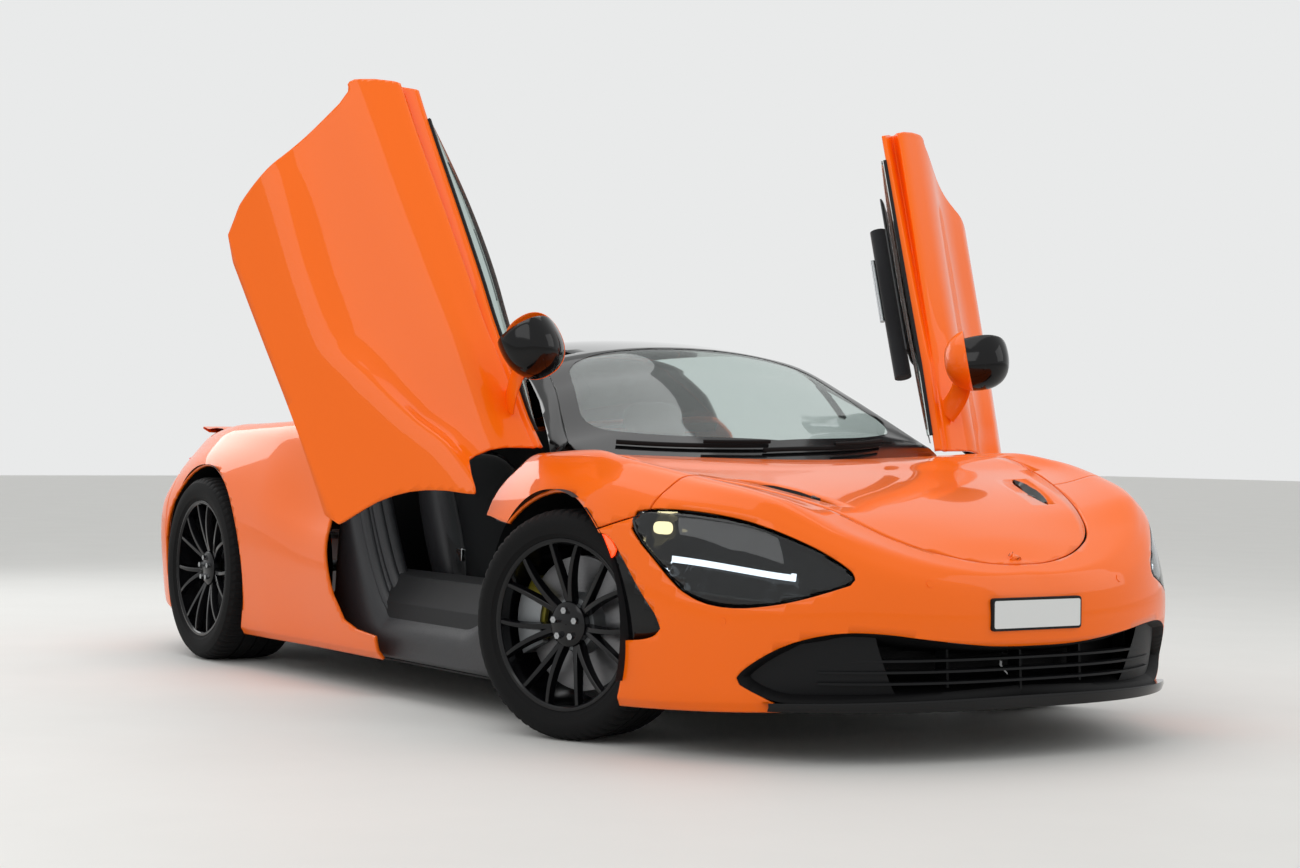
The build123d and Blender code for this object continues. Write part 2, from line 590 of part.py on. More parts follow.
def make_glasshouse(m, skin):
    frame = m["canopy"] - m["canopy_in"]
    pane = m["canopy"] - m["canopy_glass"]
    pillar = from_front(PILLAR_LINE)
    inner = [(x, y - 42) for x, y in pillar]
    outer = [(x, y + 58) for x, y in pillar]
    glass_side = side_plate([(ROOF_REAR_X + 4, 1300), (HEADER_X, 1300), (FRONT_AXLE_X - 415, 900),
                             (FRONT_AXLE_X - 415, 760), (ROOF_REAR_X + 4, 760)], 300, 900)
    outboard = [(ROOF_REAR_X + 4, 560), *outer[::-1], (FRONT_AXLE_X - 335, 900), (ROOF_REAR_X + 4, 900)]
    screen_half = [(FRONT_AXLE_X + 100, 0), (FRONT_AXLE_X + 100, 700), *inner, (HEADER_X + 40, 0)]
    screen = [p for p in screen_half if p[1] > 0]
    screen_plan = plan_plate(screen + [(x, -y) for x, y in reversed(screen)], 740, 1400)
    above_cowl = block(HEADER_X, FRONT_AXLE_X + 200, -900, 900, 772, 1400)
    windscreen = pane & screen_plan & above_cowl
    door_strip = frame & door_frame_plan(0) & block(TAIL_X, STRIP_FRONT_X, 0, HALF_WIDTH, 700, 1400)
    glass = pane & glass_side & plan_plate(outboard, 700, 1400)
    glass = largest(glass - skin - hinge_gusset(m) - door_strip)
    gap_plan = door_frame_plan(SHUT_GAP)
    outer = [(x, y + 58) for x, y in reversed(pillar)]
    pillar_zone = plan_plate([*inner, *[(x, y - 1) for x, y in reversed(pillar)]], 760, 1400)
    spine = block(ROOF_REAR_X - 60, HEADER_X + 40, -ROOF_CUT_Y + SHUT_GAP, ROOF_CUT_Y - SHUT_GAP, 1000, 1400)
    header = block(HEADER_X, HEADER_X + 40, -540, 540, 1000, 1400)
    hoop = block(ROOF_REAR_X - 60, ROOF_REAR_X - SHUT_GAP, -900, 900, 880, 1400)
    roof_zone = union([spine, header, hoop, pillar_zone, mirrored(pillar_zone)])
    door = door_zone(DOOR_GAP)
    hinge_room = hinge_rod(-24, 100, HINGE_EYE_R + 13)
    roof = (frame & roof_zone) - windscreen - gap_plan - mirrored(gap_plan) - door - mirrored(door)
    roof = largest(roof - hinge_room - mirrored(hinge_room))
    rear_zone = block(TAIL_X, ROOF_REAR_X - 60, -900, 900, 760, 1400)
    rear_glass = (pane & rear_zone) - m["rear"]
    return {"windscreen": windscreen, "roof": roof, "rear_glass": rear_glass, "door_strip": door_strip,
            "door_glass": glass}


# ---------------------------------------------------------------- doors and mirrors
def door_section(row):
    r = dict(zip(DOOR_COLUMNS, row))
    outer = [(HALF_WIDTH - DOOR_BOTTOM_IN, r["bottom_z"] - 30),
             (HALF_WIDTH - DOOR_RIDGE_IN, r["ridge_z"]),
             (HALF_WIDTH - DOOR_VALLEY_IN, r["valley_z"]),
             (HALF_WIDTH - DOOR_CREASE_IN, r["crease_z"]),
             (HALF_WIDTH - DOOR_BELT_IN, r["belt_z"])]
    inner = [(HALF_WIDTH - DOOR_BELT_IN - 40, r["belt_z"] - 8),
             (HALF_WIDTH - DOOR_CREASE_IN - DOOR_THICKNESS, r["crease_z"] - 30),
             (HALF_WIDTH - DOOR_BOTTOM_IN - DOOR_THICKNESS, r["bottom_z"] - 30)]
    return outer + inner


def make_door_skin():
    faces = [make_face(Plane.YZ.offset(FRONT_AXLE_X + row[0]) * Polyline(*door_section(row), close=True))
             for row in DOOR_SECTIONS]
    full = loft(faces)
    shell = (full - Pos(0, -DOOR_SKIN, 0) * full) & door_zone(0)
    return shell + (full & door_zone(-DOOR_STEP))


def hinge_gusset(m):
    """Corner block between the hinge arm, the roof strip and the door's inner box, with its bracket."""
    rear_x = STRIP_FRONT_X - 90
    pillar = [(rear_x, 624), (STRIP_FRONT_X, 664)]
    block_plan = plan_plate([*pillar, (STRIP_FRONT_X, 775), (rear_x, 775)], 690, 1000)
    bracket = block(rear_x, STRIP_FRONT_X - 10, 690, 800, 690, 735)
    return (block_plan & m["canopy"]) + bracket


def make_door(m, skin, strip):
    """Skin, roof and pillar strip, the gusset that joins them and the hinge eye."""
    return skin + hinge_gusset(m) + strip + hinge_eye()


def make_mirror(skin):
    """Rounded housing, flat at the glass, on a stalk that rises from the door's shoulder."""
    x, y, z = (FRONT_AXLE_X - 618, HALF_WIDTH + 12, 915)
    face = front_plate([(y - 100, z - 30), (y - 70, z - 66), (y + 60, z - 58), (y + 104, z - 10), (y + 84, z + 52),
                        (y - 10, z + 70), (y - 92, z + 44)], x - 100, x + 100, radius=26)
    plan = plan_plate([(x - 50, y - 100), (x - 50, y + 100), (x + 10, y + 96), (x + 66, y + 30), (x + 66, y - 50),
                       (x + 20, y - 100)], z - 100, z + 100, radius=[4, 4, 30, 40, 40, 30])
    housing = face & plan
    foot = Pos(FRONT_AXLE_X - 480, HALF_WIDTH - 112, 715) * Rectangle(86, 30)
    neck = Pos(FRONT_AXLE_X - 590, HALF_WIDTH - 30, 885) * Rectangle(60, 34)
    stalk = loft([foot, neck])
    return (housing + stalk) - skin


# ---------------------------------------------------------------- wheels and running gear
def revolve_wheel(points, radius=0.0):
    """Turns an outline of (y across, radius) about the Y axis."""
    line = FilletPolyline(*points, radius=radius, close=True)
    plane = Plane(origin=(0, 0, 0), x_dir=(0, 1, 0), z_dir=(1, 0, 0))
    return revolve(make_face(plane * line), axis=Axis.Y)


def make_tyre(tyre_r, rim_r, width):
    half = width / 2
    bulge = tyre_r * 0.88
    outline = [(-half + 14, rim_r), (half - 14, rim_r), (half, bulge - 20), (half - 2, bulge), (half - 16, tyre_r - 5),
               (half - 40, tyre_r), (-half + 40, tyre_r), (-half + 16, tyre_r - 5), (-half + 2, bulge), (-half, bulge - 20)]
    return revolve_wheel(outline)


def make_rim(rim_r, width):
    """Barrel, hub, twin spokes and the brake disc behind them; outside faces +Y."""
    half = width / 2 - 14
    barrel = revolve_wheel([(-half, rim_r), (half, rim_r), (half, rim_r - 16), (half - 18, rim_r - RIM_WALL - 4),
                            (-half + 12, rim_r - RIM_WALL - 4), (-half, rim_r - 12)])
    hub = across(0, 0, HUB_R, half - 70, half - 22)
    spokes = []
    for index in range(SPOKE_PAIRS):
        for side in (-1, 1):
            spoke = side_plate([(side * 8, 40), (side * 34, 40), (side * 52, rim_r - 8), (side * 36, rim_r - 8)],
                               half - 44, half - 14)
            spokes.append(spoke.rotate(Axis.Y, index * 360 / SPOKE_PAIRS))
    disc = across(0, 0, DISC_R, -DISC_THICKNESS / 2, DISC_THICKNESS / 2)
    bell = across(0, 0, 84, DISC_THICKNESS / 2, half - 60)
    bore = across(0, 0, 33, -100, half - 62)
    return union([barrel, hub] + spokes + [disc, bell]) - bore


def make_caliper(angle):
    """Caliper body that straddles the disc with 6 mm of room at each face."""
    outer = rod((0, -DISC_THICKNESS / 2 - 34, 0), (0, DISC_THICKNESS / 2 + 30, 0), DISC_R + 22)
    inner = rod((0, -DISC_THICKNESS / 2 - 40, 0), (0, DISC_THICKNESS / 2 + 40, 0), DISC_R - 62)
    slot = rod((0, -DISC_THICKNESS / 2 - 6, 0), (0, DISC_THICKNESS / 2 + 6, 0), DISC_R + 7)
    wedge = side_plate([(0, 0), (-150, 300), (150, 300)], -100, 100)
    body = ((outer - inner - slot) & wedge)
    return body.rotate(Axis.Y, angle)


def place_wheel(part, x, y, z, steer, side):
    """Left wheels keep their outside at +Y; right wheels are turned about to face -Y."""
    turned = part if side > 0 else part.rotate(Axis.Z, 180)
    if steer:
        turned = Pos(0, side * KINGPIN_INSET, 0) * turned
        turned = turned.rotate(Axis.Z, steer)
        return Pos(x, side * (y - KINGPIN_INSET), z) * turned
    return Pos(x, side * y, z) * turned


def make_knuckle(side):
    """Upright with its stub axle, kingpin and caliper, in wheel-centre coordinates."""
    hub_in = -KINGPIN_INSET
    carrier = across(0, 0, 58, hub_in - 26, hub_in + 26)
    post = block(-22, 22, hub_in - 20, hub_in + 20, -100, 100)
    pin = rod((0, hub_in, -150), (0, hub_in, 150), KINGPIN_R)
    stub = across(0, 0, 32, hub_in, FRONT_TYRE_W / 2 - 14 - 64)
    caliper = make_caliper(-90)
    bracket = block(-DISC_R - 10, -20, -DISC_THICKNESS / 2 - 44, -DISC_THICKNESS / 2 - 20, -30, 30)
    return union([carrier, post, pin, stub, bracket]) + caliper


def make_front_suspension():
    """Upper and lower wishbones, with eyes on the kingpins."""
    parts = []
    pin_y = FRONT_TRACK / 2 - KINGPIN_INSET
    for z in (FRONT_TYRE_R - 130, FRONT_TYRE_R + 112):
        arm = plan_plate([(FRONT_AXLE_X - 22, pin_y + 10), (FRONT_AXLE_X + 22, pin_y + 10),
                          (FRONT_AXLE_X + 150, 470), (FRONT_AXLE_X + 150, 440), (FRONT_AXLE_X - 150, 440),
                          (FRONT_AXLE_X - 150, 470)], z, z + 18)
        window = plan_plate([(FRONT_AXLE_X - 6, pin_y - 50), (FRONT_AXLE_X + 6, pin_y - 50),
                             (FRONT_AXLE_X + 106, 464), (FRONT_AXLE_X - 106, 464)], z - 5, z + 30)
        eye = rod((FRONT_AXLE_X, pin_y, z), (FRONT_AXLE_X, pin_y, z + 18), 30)
        bore = rod((FRONT_AXLE_X, pin_y, z - 5), (FRONT_AXLE_X, pin_y, z + 30), KINGPIN_R + SEAT_GAP)
        parts.append(arm - window + eye - bore)
    subframe = block(FRONT_AXLE_X - 170, FRONT_AXLE_X + 170, 300, 440, FLOOR_Z + FLOOR_WALL, 320)
    tower = block(FRONT_AXLE_X - 160, FRONT_AXLE_X + 160, 420, 440, 320, 470)
    left = union([subframe, tower] + parts)
    return both(left)


def make_rear_suspension():
    """Wishbones, uprights with calipers, and drive shafts."""
    y_up = REAR_TRACK / 2 - KINGPIN_INSET - 60
    parts = []
    for z in (REAR_TYRE_R - 130, REAR_TYRE_R + 110):
        arm = plan_plate([(REAR_AXLE_X - 24, y_up), (REAR_AXLE_X + 24, y_up), (REAR_AXLE_X + 150, 330),
                          (REAR_AXLE_X - 150, 330)], z, z + 18)
        window = plan_plate([(REAR_AXLE_X - 4, y_up - 90), (REAR_AXLE_X + 4, y_up - 90), (REAR_AXLE_X + 104, 352),
                             (REAR_AXLE_X - 104, 352)], z - 5, z + 30)
        parts.append(arm - window)
    subframe = block(REAR_AXLE_X - 170, REAR_AXLE_X + 170, 290, 330, FLOOR_Z + FLOOR_WALL, 480)
    hub_y = REAR_TRACK / 2
    upright = block(REAR_AXLE_X - 26, REAR_AXLE_X + 26, y_up - 20, y_up + 24, REAR_TYRE_R - 140, REAR_TYRE_R + 140)
    stub = across(REAR_AXLE_X, REAR_TYRE_R, 32, y_up - 10, hub_y + REAR_TYRE_W / 2 - 14 - 64)
    bracket = block(REAR_AXLE_X + 20, REAR_AXLE_X + DISC_R, y_up - 20, hub_y - DISC_THICKNESS / 2 - 20,
                    REAR_TYRE_R - 25, REAR_TYRE_R + 25)
    caliper = Pos(REAR_AXLE_X, hub_y, REAR_TYRE_R) * make_caliper(90)
    shaft = across(REAR_AXLE_X, REAR_TYRE_R, 22, 200 + SEAT_GAP, y_up)
    left = union([subframe, upright, stub, bracket, shaft] + parts) + caliper
    return both(left)


# ---------------------------------------------------------------- cabin and engine
def make_engine():
    """Engine with the gearbox behind it, as one plain mass."""
    block_part = block(REAR_AXLE_X + 260, CABIN_REAR_X, -270, 270, FLOOR_Z + FLOOR_WALL, 700)
    gearbox = block(REAR_AXLE_X - 330, REAR_AXLE_X + 260, -200, 200, FLOOR_Z + FLOOR_WALL, 520)
    return block_part + gearbox


def make_seats():
    """Two bucket seats: cushion, back and side bolsters."""
    cushion = [(-1340, TUB_Z + 22), (-860, TUB_Z + 22), (-820, 330), (-1290, 270), (-1420, 420), (-1590, 900),
               (-1570, 985), (-1640, 985), (-1700, 880), (-1500, 300)]
    core = side_plate(from_front(cushion), -190, 190, radius=18)
    wings = [(-1340, TUB_Z + 60), (-900, TUB_Z + 60), (-870, 390), (-1250, 380), (-1370, 520), (-1480, 800),
             (-1600, 820), (-1460, 300)]
    bolster = side_plate(from_front(wings), 165, 222, radius=18)
    seat = core + bolster + mirrored(bolster)
    return Compound(children=[Pos(0, DRIVER_Y, 0) * seat, Pos(0, -DRIVER_Y, 0) * seat])


def make_dashboard():
    """Dashboard with binnacle, centre console, column and steering wheel."""
    board = [(-424, 560), (-424, 735), (-520, 745), (-700, 720), (-760, 650), (-740, 590), (-640, 560)]
    beam = side_plate(from_front(board), -560, 560, radius=10)
    console = side_plate(from_front([(-700, TUB_Z + 22), (-700, 600), (-780, 560), (-1150, 330), (-1300, 320),
                                     (-1300, TUB_Z + 22)]), -75, 75, radius=8)
    column = rod((FRONT_AXLE_X - 640, DRIVER_Y, 640), (FRONT_AXLE_X - 880, DRIVER_Y, 700), 26)
    axis = Vector(-240, 0, 60).normalized()
    plane = Plane(origin=(FRONT_AXLE_X - 872, DRIVER_Y, 698), x_dir=(0, 1, 0), z_dir=axis)
    rim = plane * revolve(make_face(Plane.XZ * Pos(178, 0) * RegularPolygon(15, 6)), axis=Axis.Z)
    spokes = plane * Box(350, 34, 16) + plane * (Pos(0, -88, 0) * Box(30, 170, 16)) + plane * Cylinder(60, 40)
    return union([beam, console, column]) + rim + spokes


# ---------------------------------------------------------------- assembly
def build_parts():
    m = build_masters()
    front = make_front(m)
    rear = make_rear(m)
    skin = make_door_skin()
    glass = make_glasshouse(m, skin)
    mesh, vents = make_grille(m, front["vents"])
    nodes = {
        "tub": make_tub(),
        "underfloor": make_underfloor(),
        "luggage_tub": make_luggage_tub(m),
        "arch_liners": make_arch_liners(),
        "front_bumper": front["front_bumper"],
        "front_splitter": front["front_splitter"],
        "front_grille": Compound(children=[*mesh.solids(), *vents.solids()]),
        "front_lid": front["front_lid"],
        "fender_left": front["fender_left"],
        "fender_right": mirrored(front["fender_left"]),
        "headlamps": front["headlamps"],
        "windscreen": glass["windscreen"],
        "roof": glass["roof"],
        "rear_glass": glass["rear_glass"],
        "quarter_left": rear["quarter_left"],
        "quarter_right": mirrored(rear["quarter_left"]),
        "engine_cover": rear["engine_cover"],
        "rear_wing": make_wing(m),
        "rear_bumper": rear["rear_bumper"],
        "rear_grille": make_rear_grille(),
        "diffuser": make_diffuser(),
        "exhausts": make_exhausts(),
        "tail_lamps": rear["tail_lamps"],
        "engine": make_engine(),
        "seats": make_seats(),
        "dashboard": make_dashboard(),
        "front_suspension": make_front_suspension(),
        "rear_suspension": make_rear_suspension(),
    }
    door = make_door(m, skin, glass["door_strip"])
    mirror_part = make_mirror(skin)
    for name, part in (("door", door), ("door_glass", glass["door_glass"]), ("mirror", mirror_part)):
        opened = hinge_turn(part, DOOR_SWING)
        nodes[name + "_left"] = opened
        nodes[name + "_right"] = mirrored(opened)
    for end, x, track, tyre_r, rim_r, width, steer in (
            ("front", FRONT_AXLE_X, FRONT_TRACK, FRONT_TYRE_R, FRONT_RIM_R, FRONT_TYRE_W, REST_STEER),
            ("rear", REAR_AXLE_X, REAR_TRACK, REAR_TYRE_R, REAR_RIM_R, REAR_TYRE_W, 0)):
        tyre = make_tyre(tyre_r, rim_r, width)
        rim = make_rim(rim_r, width)
        for name, side in (("left", 1), ("right", -1)):
            nodes[f"tyre_{end}_{name}"] = place_wheel(tyre, x, track / 2, tyre_r, steer, side)
            nodes[f"rim_{end}_{name}"] = place_wheel(rim, x, track / 2, tyre_r, steer, side)
    for name, side in (("left", 1), ("right", -1)):
        knuckle = make_knuckle(side)
        knuckle = knuckle if side > 0 else mirrored(knuckle)
        part = Pos(0, side * KINGPIN_INSET, 0) * knuckle
        part = part.rotate(Axis.Z, REST_STEER)
        nodes[f"knuckle_{name}"] = Pos(FRONT_AXLE_X, side * (FRONT_TRACK / 2 - KINGPIN_INSET), FRONT_TYRE_R) * part
    return nodes


if __name__ == "__main__":
    os.makedirs("parts", exist_ok=True)
    for name, part in build_parts().items():
        export_step(part, f"parts/{name}.step")
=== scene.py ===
"""Looks of a mid-engined two-seat supercar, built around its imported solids.

Metres, +X forward, +Y the car's left, +Z up. Each operator makes one group of pieces from surfaces that
numpy works out: smooth curves through a short table of lines, trimmed by outlines seen from the side, from
above or from ahead.
"""
import math

import bmesh
import bpy
import numpy as np
from mathutils import Matrix, Vector


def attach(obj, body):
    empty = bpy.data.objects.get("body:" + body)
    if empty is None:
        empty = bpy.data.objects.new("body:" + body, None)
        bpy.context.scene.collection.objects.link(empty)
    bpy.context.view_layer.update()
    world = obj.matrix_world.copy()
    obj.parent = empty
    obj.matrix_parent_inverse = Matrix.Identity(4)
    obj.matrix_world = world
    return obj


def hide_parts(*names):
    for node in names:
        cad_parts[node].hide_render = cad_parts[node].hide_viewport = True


bl_info = {
    "name": "Supercar looks",
    "version": (1, 0, 0),
    "blender": (4, 5, 0),
    "location": "3D View > Sidebar > Supercar",
    "description": "Panels, glass, lamps, wheels and cabin of a two-seat supercar with its doors open",
    "category": "Object",
}

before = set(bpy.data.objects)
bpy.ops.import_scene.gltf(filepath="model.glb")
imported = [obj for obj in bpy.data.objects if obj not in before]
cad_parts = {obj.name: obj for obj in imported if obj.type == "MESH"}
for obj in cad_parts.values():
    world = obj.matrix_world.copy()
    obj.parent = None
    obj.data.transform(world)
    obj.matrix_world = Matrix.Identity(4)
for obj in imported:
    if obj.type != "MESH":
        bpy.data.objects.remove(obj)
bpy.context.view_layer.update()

# ---------------------------------------------------------------- places shared with the solids
FRONT_AXLE_X = 1.264
REAR_AXLE_X = -1.406
HALF_WIDTH = 0.965
NOSE_X = 2.2715
TAIL_X = -2.2715
HINGE_POINT = np.array([0.870, 0.641, 0.861])
HINGE_AXIS = np.array([0.4405, 0.7615, -0.4754])
DOOR_SWING = math.radians(68.3)
FRONT_RADIUS, REAR_RADIUS = 0.327, 0.3455
FRONT_WHEEL_L = np.array([1.24006, 0.83278, FRONT_RADIUS])
FRONT_WHEEL_R = np.array([1.28794, -0.83278, FRONT_RADIUS])
REAR_WHEEL = np.array([REAR_AXLE_X, 0.8145, REAR_RADIUS])
REST_STEER = math.radians(20)
SIDES = ((1, "left"), (-1, "right"))
SIDE, PLAN, AHEAD = (0, 2), (0, 1), (1, 2)  # the two axes that each view shows

# Body lines, x from the axle. Columns: x, floor z, rocker in, rocker z, waist in, waist z, cheek in, cheek z,
# crest y, crest z, deck y, deck z, centre z; "in" is a distance in from the car's widest line.
FRONT_SECTIONS = (
    (-0.414, .118, .060, .150, .015, .560, .070, .705, .790, .806, .660, .810, .818),
    (0.000, .118, .040, .150, .003, .500, .045, .700, .800, .828, .700, .800, .786),
    (0.169, .120, .030, .150, .000, .470, .040, .700, .806, .811, .705, .763, .765),
    (0.447, .126, .028, .155, .000, .435, .030, .665, .795, .762, .590, .716, .715),
    (0.664, .133, .030, .165, .000, .415, .075, .640, .785, .712, .540, .659, .655),
    (0.808, .140, .060, .172, .004, .400, .090, .583, .775, .622, .520, .592, .602),
    (0.936, .150, .080, .180, .015, .380, .075, .505, .700, .530, .480, .525, .520),
    (1.0075, .160, .100, .185, .030, .360, .090, .450, .600, .482, .380, .480, .480),
)
REAR_SECTIONS = (
    (1.466, .118, .060, .150, .018, .420, .090, .580, .862, .800, .690, .910, .930),
    (1.000, .118, .060, .150, .018, .455, .092, .610, .850, .860, .690, .965, .985),
    (0.500, .118, .045, .150, .008, .530, .050, .700, .838, .900, .600, .930, .930),
    (0.000, .120, .035, .150, .000, .570, .030, .740, .800, .900, .560, .895, .885),
    (-0.400, .150, .035, .180, .004, .560, .070, .705, .745, .872, .540, .886, .886),
    (-0.700, .210, .045, .240, .018, .540, .105, .650, .700, .848, .520, .876, .876),
    (TAIL_X - REAR_AXLE_X, .250, .065, .280, .040, .520, .120, .620, .690, .826, .500, .858, .862),
)
# Plan of the nose: x runs as a power of the sine and the half width as a power of the cosine of one angle.
NOSE_ROUND_X = 1.400
NOSE_SINE_POWER, NOSE_COSINE_POWER = 1.11, 0.71
# How far each line ends behind the tip, floor to centre.
NOSE_SETBACK = (.066, .041, 0, .009, .031, .071, .130)
TAIL_ROUND_X = TAIL_X + 0.640
CANOPY_SECTIONS = (  # x from the front axle; belt y, z; rail y, z; crown z
    (0.020, .400, .712, .300, .732, .750),
    (-0.094, .520, .738, .420, .768, .802),
    (-0.335, .735, .780, .690, .842, .926),
    (-0.612, .765, .820, .575, 1.016, 1.078),
    (-0.794, .768, .840, .520, 1.106, 1.166),
    (-1.114, .762, .875, .505, 1.152, 1.196),
    (-1.514, .757, .915, .495, 1.146, 1.192),
    (-1.914, .735, .930, .440, 1.085, 1.134),
    (-2.314, .680, .905, .350, .985, 1.012),
    (-2.614, .600, .870, .280, .893, .903),
)
DOOR_SECTIONS = (  # x from the front axle; heights of bottom, ridge, valley, crease and belt
    (-1.740, .238, .462, .600, .800, .965),
    (-1.500, .228, .440, .575, .774, .925),
    (-1.144, .208, .387, .516, .746, .875),
    (-0.960, .192, .372, .505, .738, .848),
    (-0.800, .178, .430, .516, .734, .822),
    (-0.610, .160, .505, .545, .716, .800),
    (-0.470, .148, .565, .600, .700, .782),
    (-0.270, .130, .600, .640, .690, .775),
)

# Outlines. Side ones give x from the front axle and z; plan ones x from the front axle and y; front ones
# y and z.
DOOR_OUTLINE = ((-.430, .128), (-.436, .276), (-.414, .391), (-.363, .489), (-.290, .582), (-.300, .590),
                (-.378, .600), (-.418, .604), (-.413, .681), (-.372, .792), (-.395, .840), (-1.560, 1.060),
                (-1.612, .963), (-1.672, .890), (-1.719, .782), (-1.669, .780), (-1.610, .595),
                (-1.563, .471), (-1.506, .320), (-1.483, .297), (-1.426, .225), (-1.134, .200), (-.804, .176),
                (-.644, .158))
LID_OUTLINE = ((-.300, .620), (-.100, .700), (.029, .729), (.169, .705), (.447, .557), (.664, .445),
               (.808, .369), (.890, .241), (.926, .127), (.936, .040))
LAMP_OUTLINE = ((.905, .600), (.897, .662), (.830, .668), (.731, .646), (.647, .601), (.574, .553),
                (.512, .490), (.587, .462), (.690, .425), (.790, .409), (.850, .440), (.885, .530))
INTAKE_HALF = ((.105, .309), (.216, .318), (.353, .335), (.470, .352), (.574, .354), (.672, .325),
               (.738, .268), (.768, .222), (.745, .200), (.700, .172), (.655, .140), (.650, .080))
HOOD_VENT = ((.240, .520), (.330, .515), (.470, .468), (.600, .400), (.640, .355), (.560, .372), (.400, .440))
DAY_LAMP = ((.846, .538), (.640, .497))  # y and z of its two ends
PROJECTORS = ((.845, .612), (.800, .610), (.755, .604), (.712, .594))  # y and z; only the first is lit
SLATS_Z = (.215, .245, .275)
POSTS_Y = (-.47, -.235, 0, .235, .47)
SPLITTER_REACH = .72
PLATE = (  # name, half width, bottom, top, corner radius, back and front from the nose, finish, bevel
    ("plate_holder", .158, .352, .440, .010, -.012, .001, "moulded_plastic", .002),
    ("number_plate", .151, .359, .433, .006, .001, .003, "plate_sheet", 0),
)
PARK_SENSORS = ((-.342, .483), (.342, .483), (-.800, .390), (.800, .390))  # y, z
MARKER_OUTLINE = ((.255, .596), (.306, .588), (.350, .540), (.330, .516), (.280, .540))
VENT_OUTLINE = ((.060, .585), (.250, .598), (.310, .590), (.372, .530), (.440, .440), (.508, .358),
                (.486, .322), (.376, .304), (.060, .297))
FENDER_SPLIT = ((-.500, .626), (-.380, .617), (-.300, .604), (-.240, .598), (.140, .598), (.145, .576),
                (.426, .655), (.440, 1.000), (-.500, 1.000))
COWL_LINE = ((1.180, .000), (1.160, .200), (1.105, .400), (1.020, .580), (.940, .690), (.860, .740),
             (.760, .770))
PILLAR_LINE = ((-.335, .690), (-.612, .578), (-.794, .523))
HEADER_X = FRONT_AXLE_X - 0.800
ROOF_REAR_X = FRONT_AXLE_X - 1.600
ROOF_CUT_Y = 0.392
# Where an outline counts: lid above, lamps and intake ahead, side vents and wheel arches outboard.
LID_FROM_Z = 0.44
LAMPS_FROM_X, INTAKE_FROM_X = FRONT_AXLE_X + 0.38, FRONT_AXLE_X + 0.6
VENTS_FROM_Y, OUTBOARD_Y = 0.68, 0.5
DECK_FROM_Z = 0.7
DOOR_X = (FRONT_AXLE_X - 1.74, FRONT_AXLE_X - 0.27)
DECK_FRAME = ((-1.886, -.45), (-1.341, -.45), (-1.341, .45), (-1.886, .45))
TAIL_PANEL = ((.470, .420), (.540, .470), (.580, .600), (.590, .700), (.560, .760), (.420, .780))
TAIL_FACE_Z = 0.325
WING_SPAN, WING_X, WING_Z = 0.656, -1.930, 0.873
WING_CHORD = ((0, 0), (.02, .010), (.09, .013), (.18, .008), (.235, .018), (.238, .010), (.17, -.006),
              (.06, -.008))
DIFFUSER_X, DIFFUSER_Y = (-2.205, -1.906), 0.520
RIM_PAIRS, SPOKE_ROOT = 7, 0.045
CALIPER_SECTION = np.array([(-.050, .118), (-.050, .205), (-.034, .214), (.028, .214), (.040, .204),
                            (.040, .118), (.022, .118), (.022, .196), (-.022, .196), (-.022, .118)])
WHEELS = (  # name, body of the caliper, centre, radius, rim radius, width, steer, side, turn of the caliper
    ("front_left", "knuckle_left", FRONT_WHEEL_L, FRONT_RADIUS, .246, .245, REST_STEER, 1, math.pi * .96),
    ("front_right", "knuckle_right", FRONT_WHEEL_R, FRONT_RADIUS, .246, .245, REST_STEER, -1, math.pi * .96),
    ("rear_left", "chassis", REAR_WHEEL, REAR_RADIUS, .259, .300, 0, 1, 0.1),
    ("rear_right", "chassis", REAR_WHEEL * [1, -1, 1], REAR_RADIUS, .259, .300, 0, -1, 0.1),
)
MIRROR = np.array([.652, .925, .935])
SEAT_Y = 0.33
SQUAB_LEAN, BACK_LEAN = 0.10, 0.42
SQUAB_PIVOT, BACK_PIVOT, HEAD_PIVOT = (.165, .275), (-.020, .330), (-.205, .905)
SEAT_PADS = (  # name, middle, half sizes, power, grid, lean and the x and z that it leans about
    ("squab", (.165, 0, .275), (.235, .165, .055), .55, (18, 24), SQUAB_LEAN, SQUAB_PIVOT),
    ("back", (-.150, 0, .600), (.060, .160, .290), .55, (18, 24), BACK_LEAN, BACK_PIVOT),
    ("head", (-.205, 0, .905), (.045, .120, .085), .6, (18, 24), BACK_LEAN, HEAD_PIVOT),
    ("roll_low_0", (.165, -.195, .305), (.230, .050, .070), .65, (16, 20), SQUAB_LEAN, SQUAB_PIVOT),
    ("roll_back_0", (-.120, -.195, .600), (.080, .050, .235), .65, (16, 20), BACK_LEAN, BACK_PIVOT),
    ("roll_low_1", (.165, .195, .305), (.230, .050, .070), .65, (16, 20), SQUAB_LEAN, SQUAB_PIVOT),
    ("roll_back_1", (-.120, .195, .600), (.080, .050, .235), .65, (16, 20), BACK_LEAN, BACK_PIVOT),
)
DASH_HALF = 0.66
STEERING_HUB = np.array([.400, SEAT_Y, .640])
STEERING_LEAN = math.radians(22)
STEERING_RADIUS = 0.176
# The camera: place, turn in degrees, focal length and width of the frame in pixels.
CAMERA_PLACE = (7.04585, -4.22340, 0.85158)
CAMERA_YAW, CAMERA_PITCH, CAMERA_ROLL = 147.967, 0.1477, 0.602
FOCAL_PIXELS, FRAME_PIXELS, SENSOR_MM = 2335.84, 1300, 36
LIGHTS = (  # name, place, size in metres, power in watts
    ("key", (3.5, -5.5, 5.0), 4.0, 85), ("fill", (5.0, 4.5, 3.5), 4.0, 60),
    ("top", (-0.5, 0, 5.5), 5.0, 90), ("back", (-6, -1.5, 3.5), 3.0, 70),
)
LIGHTS_AIM = Vector((0, 0, .5))
FLOOR_REACH = 40


